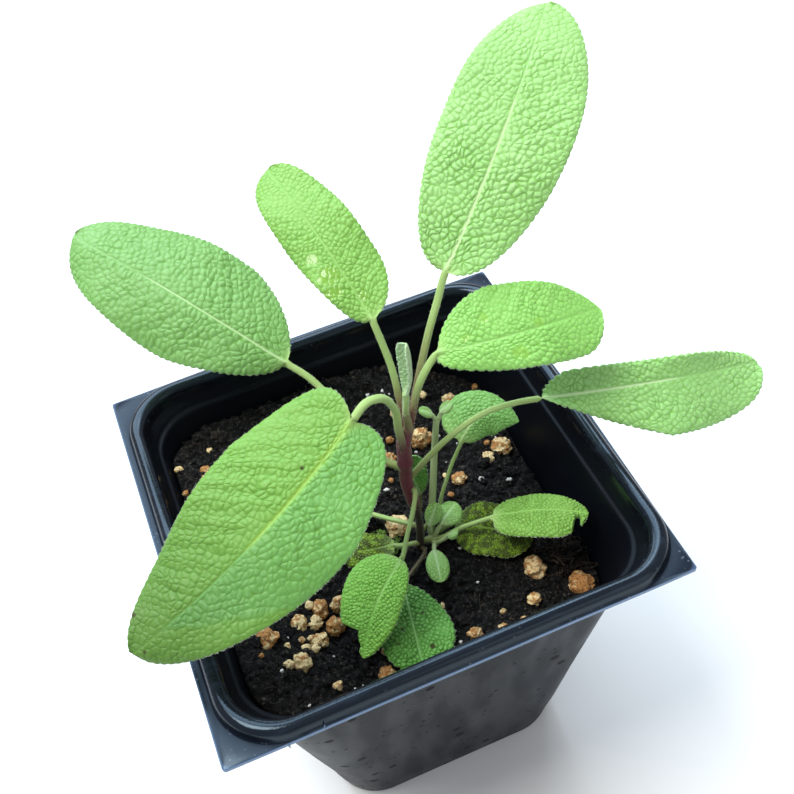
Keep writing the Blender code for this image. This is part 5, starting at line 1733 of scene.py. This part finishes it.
    def bed(self) -> Shape:
        """Make the bed: a fine lumpy top over tapered sides and a flat base."""
        half = self.half_at(-self.depth) - self.clearance
        radius = self.radius_at(-self.depth) - self.clearance
        line = np.linspace(-1.0, 1.0, self.cells)
        grid_x, grid_y = np.meshgrid(line, line, indexing="xy")
        reach = np.maximum(np.abs(grid_x), np.abs(grid_y))
        lesser = np.minimum(np.abs(grid_x), np.abs(grid_y))
        slope = lesser / np.maximum(reach, 1e-6)
        straight = 1.0 - radius / half
        sweep, square = straight * (1 + slope), 1 + slope ** 2
        inner = sweep ** 2 - square * (2 * straight ** 2 - (1 - straight) ** 2)
        arc = (sweep + np.sqrt(np.clip(inner, 0.0, None))) / square
        corner = 1.0 - (1.0 - arc) * (slope > straight)
        x, y = grid_x * corner * half, grid_y * corner * half
        edge = self.level(x, y) - self.edge_drop
        wider = 1.0 + ((self.half_at(edge) - self.clearance) / half - 1.0) * reach
        x, y = x * wider + self.shift[0], y * wider + self.shift[1]
        top = np.where(reach > 0.999, edge, self.surface(x, y))
        points = [np.stack([x, y, top], axis=-1).reshape(-1, 3)]
        size = self.cells
        border = np.concatenate([
            np.arange(size), np.arange(1, size) * size + size - 1,
            (size - 1) * size + np.arange(size - 1)[::-1], np.arange(1, size - 1)[::-1] * size,
        ])
        count = len(border)
        faces = [grid_band(0, size, size)]
        ring = points[0][border]
        heights = (-40.0, self.wall_foot[1] + 1.0, self.floor)
        previous = border
        first = size * size
        middle = np.array(self.shift)
        own = self.half_at(ring[:, 2]) - self.clearance
        for height in heights:
            chamfer = 1.2 if height == self.floor else 0.0
            wide = self.half_at(max(height, self.wall_foot[1])) - self.clearance - chamfer
            flat = middle + (ring[:, :2] - middle) * (wide / own)[:, None]
            points.append(np.column_stack([flat, np.full(count, height)]))
            current = first + np.arange(count)
            faces.append(np.stack([previous, np.roll(previous, -1), np.roll(current, -1), current], axis=1))
            previous, first = current, first + count
        faces.append(previous[None])
        points = np.vstack(points)
        tone = 0.5 + 0.5 * layered_noise(points[:, 0] / 1.7, points[:, 1] / 1.7, 47)
        return Shape(points, faces, {"tone": tone})

    def inside(self, x: Array, y: Array, margin: float) -> Array:
        """Tell which places lie on the bed, at least a margin from its edge."""
        half = self.half_at(self.level(x, y)) - self.clearance - margin
        radius = self.radius_at(-self.depth) - margin
        x, y = np.abs(x - self.shift[0]), np.abs(y - self.shift[1])
        over = np.hypot(np.maximum(x - half + radius, 0.0), np.maximum(y - half + radius, 0.0))
        return (x < half) & (y < half) & (over < radius)

    def stones(
        self, places: Array, widths: Array, tones: Array, detail: int, sink: float, rough: float,
        flat: float = 0.8, lumps: float = 4.0,
    ) -> Shape:
        """Scatter rough stones on the bed.

        Args:
            places: Where they lie, as x and y.
            widths: How wide each is.
            tones: A mask value for each.
            detail: Subdivisions of the ball that each is knocked out of.
            sink: Share of a stone's width that its centre lies below or, if negative, above the surface.
            rough: How far the surface strays, as a share of the width.
            flat: Height of a stone over its width.
            lumps: How many lumps a stone has across.

        Returns:
            All the stones, with the mask tone.
        """
        ball = bmesh.new()
        bmesh.ops.create_icosphere(ball, subdivisions=detail, radius=0.5)
        unit = np.array([vertex.co[:] for vertex in ball.verts])
        faces = np.array([[vertex.index for vertex in face.verts] for face in ball.faces])
        ball.free()
        draw = np.random.default_rng(self.seed + detail)
        shapes = []
        level = self.surface(places[:, 0], places[:, 1])
        for index, (place, width, tone) in enumerate(zip(places, widths, tones)):
            turn = np.array(Matrix.Rotation(draw.uniform(0, math.tau), 3, draw.normal(0, 1, 3).tolist()))
            ball_points = unit @ turn.T
            across, over = ball_points[:, 0] * lumps, (ball_points[:, 1] + 1.2 * ball_points[:, 2]) * lumps
            knock = layered_noise(across + index * 7.3, over, 57, 3)
            stretch = draw.uniform(0.8, 1.2, 3) * (1.0, 1.0, flat)
            ball_points = ball_points * (1.0 + rough * knock[:, None]) * stretch * width
            centre = np.array((place[0], place[1], level[index] - sink * width))
            shapes.append(Shape(ball_points + centre, [faces], {"tone": np.full(len(unit), tone)}))
        return Shape.joined(shapes)

    def scattered(self, count: int, margin: float, salt: int) -> Array:
        """Draw places all over the bed."""
        draw = np.random.default_rng(self.seed + salt)
        places = draw.uniform(-39.0, 39.0, (count * 2, 2))
        return places[self.inside(places[:, 0], places[:, 1], margin)][:count]

    def crumbs(self) -> Shape:
        """Make the loose clods and crumbs of peat."""
        draw = np.random.default_rng(self.seed)
        shapes = []
        for number, kind in enumerate(self.litter, 1):
            places = self.scattered(kind.count, kind.margin, number)
            widths = draw.uniform(*kind.widths, len(places))
            tones = draw.uniform(0, 1, len(places)) ** kind.darkness
            shapes.append(self.stones(places, widths, tones, number, kind.sink, kind.rough))
        clump = np.array(self.clump)
        shapes.append(self.stones(clump[:, :2], clump[:, 2], np.full(len(clump), 0.7), 4, 0.05, 0.9))
        return Shape.joined(shapes)

    def moss(self) -> Shape:
        """Make the small tufts of moss."""
        draw = np.random.default_rng(self.seed + 9)
        places = np.vstack([
            np.array(patch[:2]) + draw.normal(0.0, 0.45 * patch[2], (self.tuft_leaves, 2))
            for patch in self.moss_patches
        ])
        widths, tones = draw.uniform(0.3, 0.7, len(places)), draw.uniform(0, 1, len(places))
        return self.stones(places, widths, tones, 1, -0.3, 0.9, 1.4)

    def granule_stones(self) -> Shape:
        """Make the clay granules, those of the solid model and some smaller ones."""
        draw = np.random.default_rng(self.seed + 3)
        main = np.array(self.granules)
        small = np.array(self.grains)
        tones = draw.uniform(0.1, 0.9, len(main))
        large = self.stones(main[:, :2], main[:, 2], tones, 4, -0.1, 0.34, lumps=5.0)
        widths, tones = draw.uniform(1.2, 2.1, len(small)), draw.uniform(0, 1, len(small))
        return Shape.joined([large, self.stones(small, widths, tones, 3, -0.1, 0.34, lumps=4.5)])

    def perlite(self) -> Shape:
        """Make the white specks."""
        draw = np.random.default_rng(self.seed + 5)
        places = self.scattered(60, 0.8, 6)
        seen = np.array(self.specks)
        places = np.vstack([seen, places])
        widths = np.concatenate([np.full(len(seen), 1.1), draw.uniform(0.25, 0.8, len(places) - len(seen))])
        return self.stones(places, widths, draw.uniform(0.0, 1.0, len(places)), 2, -0.05, 0.9, 0.9)

    def fibres(self) -> Shape:
        """Make the short root hairs and peat fibres."""
        draw = np.random.default_rng(self.seed + 7)
        shapes = []
        for place in self.scattered(260, 1.5, 8):
            turn, reach = draw.uniform(0, math.tau), draw.uniform(0.9, 3.4)
            t = np.linspace(-0.5, 0.5, 6)
            bend = draw.normal(0.0, 0.7)
            x = place[0] + reach * (t * math.cos(turn) - bend * t * t * math.sin(turn))
            y = place[1] + reach * (t * math.sin(turn) + bend * t * t * math.cos(turn))
            z = self.surface(x, y) + 0.3 + draw.uniform(-0.2, 0.6) * (0.5 + t)
            strand = tube(np.stack([x, y, z], axis=1), np.full(6, draw.uniform(0.04, 0.11)), 4)
            strand.masks = {"tone": np.full(24, draw.uniform(0.3, 1.0))}
            shapes.append(strand)
        middle = np.array(self.clump)[:, :2].mean(axis=0)
        for _ in range(self.clump_fibres):
            x, y = middle + draw.normal(0.0, 2.3, 2)
            ground = float(self.surface(np.array([x]), np.array([y]))[0])
            start = np.array((x, y, ground + draw.uniform(0.2, 2.6)))
            way = draw.normal(0.0, 1.0, 3) * (1.0, 1.0, 0.5)
            way *= draw.uniform(1.0, 2.8) / np.linalg.norm(way)
            route = smooth_route(np.stack([start - way, start + draw.normal(0.0, 0.35, 3), start + way]), 5)
            strand = tube(route, np.linspace(1.0, 0.4, len(route)) * draw.uniform(0.1, 0.24), 5)
            strand.masks = {"tone": np.full(len(strand.points), draw.uniform(0.5, 1.0))}
            shapes.append(strand)
        return Shape.joined(shapes)

    def place(self) -> list[bpy.types.Object]:
        """Put the bed in the scene in place of its plain solid, and everything that lies on it."""
        bed = self.bed().make("soil_bed", PeatFinish("peat_bed").material())
        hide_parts("soil")
        crumb = PeatFinish("peat_crumbs", pale_share=0.5)
        clay = StoneFinish("baked_clay")
        white = StoneFinish("perlite", (0.8, 0.8, 0.78), (0.62, 0.6, 0.55), (0.4, 0.36, 0.3), 0.3)
        moss = StoneFinish("moss", (0.16, 0.3, 0.04), (0.06, 0.13, 0.015), (0.03, 0.05, 0.01), 0.3)
        fibre = PeatFinish("peat_fibre", brown=(0.09, 0.055, 0.03), pale_share=0.9)
        loose = [
            self.crumbs().make("soil_crumbs", crumb.material()),
            self.granule_stones().make("clay_granules", clay.material(), 50.0),
            self.perlite().make("perlite_specks", white.material()),
            self.moss().make("soil_moss", moss.material()),
            self.fibres().make("peat_fibres", fibre.material()),
        ]
        for piece in (bed, *loose):
            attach(piece, BODY)
        return [bed, *loose]


# Camera and light


@dataclass
class Studio:
    """A pale floor, a camera at the photograph's angle, and soft boxes of light."""

    image: float = 794.0
    azimuth: float = -14.74
    elevation: float = 48.42
    roll: float = -9.45
    distance: float = 221.25
    target: tuple[float, float] = (9.34, 18.08)
    focal_pixels: float = 1053.34
    centre_pixel: tuple[float, float] = (385.0, 400.0)
    sensor: float = 36.0
    floor_half: float = 1.6
    floor_lines: int = 9
    boxes: tuple[tuple[str, Triple, float, float, Triple], ...] = (
        ("sky_box", (-0.1, 0.75, 0.9), 0.9, 15.0, (0.74, 0.87, 1.0)),
        ("key_box", (-0.4, 0.05, 1.1), 0.45, 9.0, (1.0, 0.98, 0.94)),
        ("side_box", (0.42, 0.58, 0.9), 0.38, 3.0, (0.8, 0.9, 1.0)),
        ("front_box", (0.45, -0.9, 0.55), 0.7, 1.2, (1.0, 0.98, 0.95)),
    )

    def camera(self) -> bpy.types.Object:
        """Set up the camera."""
        turn, lift, roll = (math.radians(value) for value in (self.azimuth, self.elevation, self.roll))
        back = Vector((math.sin(turn) * math.cos(lift), -math.cos(turn) * math.cos(lift), math.sin(lift)))
        right = Vector((math.cos(turn), math.sin(turn), 0.0))
        up = back.cross(right)
        across = right * math.cos(roll) + up * math.sin(roll)
        above = up * math.cos(roll) - right * math.sin(roll)
        aim = Vector((*self.target, POT_HEIGHT))
        place = (aim + back * self.distance) * MM
        data = bpy.data.cameras.new("photo_camera")
        data.sensor_width = self.sensor
        data.lens = self.focal_pixels / self.image * self.sensor
        data.shift_x = (0.5 * self.image - self.centre_pixel[0]) / self.image
        data.shift_y = (self.centre_pixel[1] - 0.5 * self.image) / self.image
        data.clip_start = 0.01
        item = bpy.data.objects.new("photo_camera", data)
        frame = Matrix((across, above, back)).transposed().to_4x4()
        item.matrix_world = Matrix.Translation(place) @ frame
        bpy.context.scene.collection.objects.link(item)
        bpy.context.scene.camera = item
        return item

    def soft_box(self, name: str, place: Triple, size: float, power: float, colour: Triple) -> None:
        """Hang one square light that faces the plant.

        Args:
            name: The light's name.
            place: Where it hangs, in metres.
            size: Its side, in metres.
            power: Its power, in watts.
            colour: Its colour.
        """
        data = bpy.data.lights.new(name, "AREA")
        data.energy = power
        data.size = size
        data.color = colour
        item = bpy.data.objects.new(name, data)
        item.location = place
        item.rotation_euler = (Vector((0.0, 0.0, 0.08)) - Vector(place)).to_track_quat("-Z", "Y").to_euler()
        bpy.context.scene.collection.objects.link(item)

    def light(self) -> None:
        """Set the soft boxes and the pale surroundings."""
        for box in self.boxes:
            self.soft_box(*box)
        world = bpy.data.worlds.new("pale_room")
        world.use_nodes = True
        background = world.node_tree.nodes["Background"]
        background.inputs["Color"].default_value = (0.9, 0.94, 1.0, 1.0)
        background.inputs["Strength"].default_value = 0.5
        bpy.context.scene.world = world
        bpy.context.scene.view_settings.view_transform = "Standard"

    def floor(self) -> bpy.types.Object:
        """Lay the pale floor."""
        count = self.floor_lines
        line = np.linspace(-self.floor_half, self.floor_half, count) / MM
        x, y = np.meshgrid(line, line)
        points = np.stack([x, y, np.full_like(x, -POT_HEIGHT)], axis=-1).reshape(-1, 3)
        graph = Graph("pale_floor")
        tint = graph.blend(graph.noise(30.0, 3.0), (0.84, 0.84, 0.83), (0.87, 0.87, 0.865))
        finish = graph.finish(Base_Color=tint, Roughness=0.8)
        piece = Shape(points, [grid_band(0, count, count)]).make("pale_floor", finish)
        return piece


def main() -> None:
    """Load the fixed frame, build every piece round it, and report each one."""
    logging.basicConfig(level=logging.INFO, format="%(message)s")
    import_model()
    studio = Studio()
    studio.camera()
    studio.light()
    studio.floor()
    pieces = [*Pot().place(), *Soil().place(), MainStem().place(), YoungShoots().place()]
    pieces.extend(leaf.place() for leaf in LEAVES)
    pieces.append(Down().place(LEAVES))
    for piece in pieces:
        LOG.info("%s: %d faces", piece.name, len(piece.data.polygons))
    triangles = sum(len(piece.data.loops) - 2 * len(piece.data.polygons) for piece in pieces)
    LOG.info("all: %d triangles", triangles)
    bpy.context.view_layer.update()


if __name__ == "__main__":
    main()
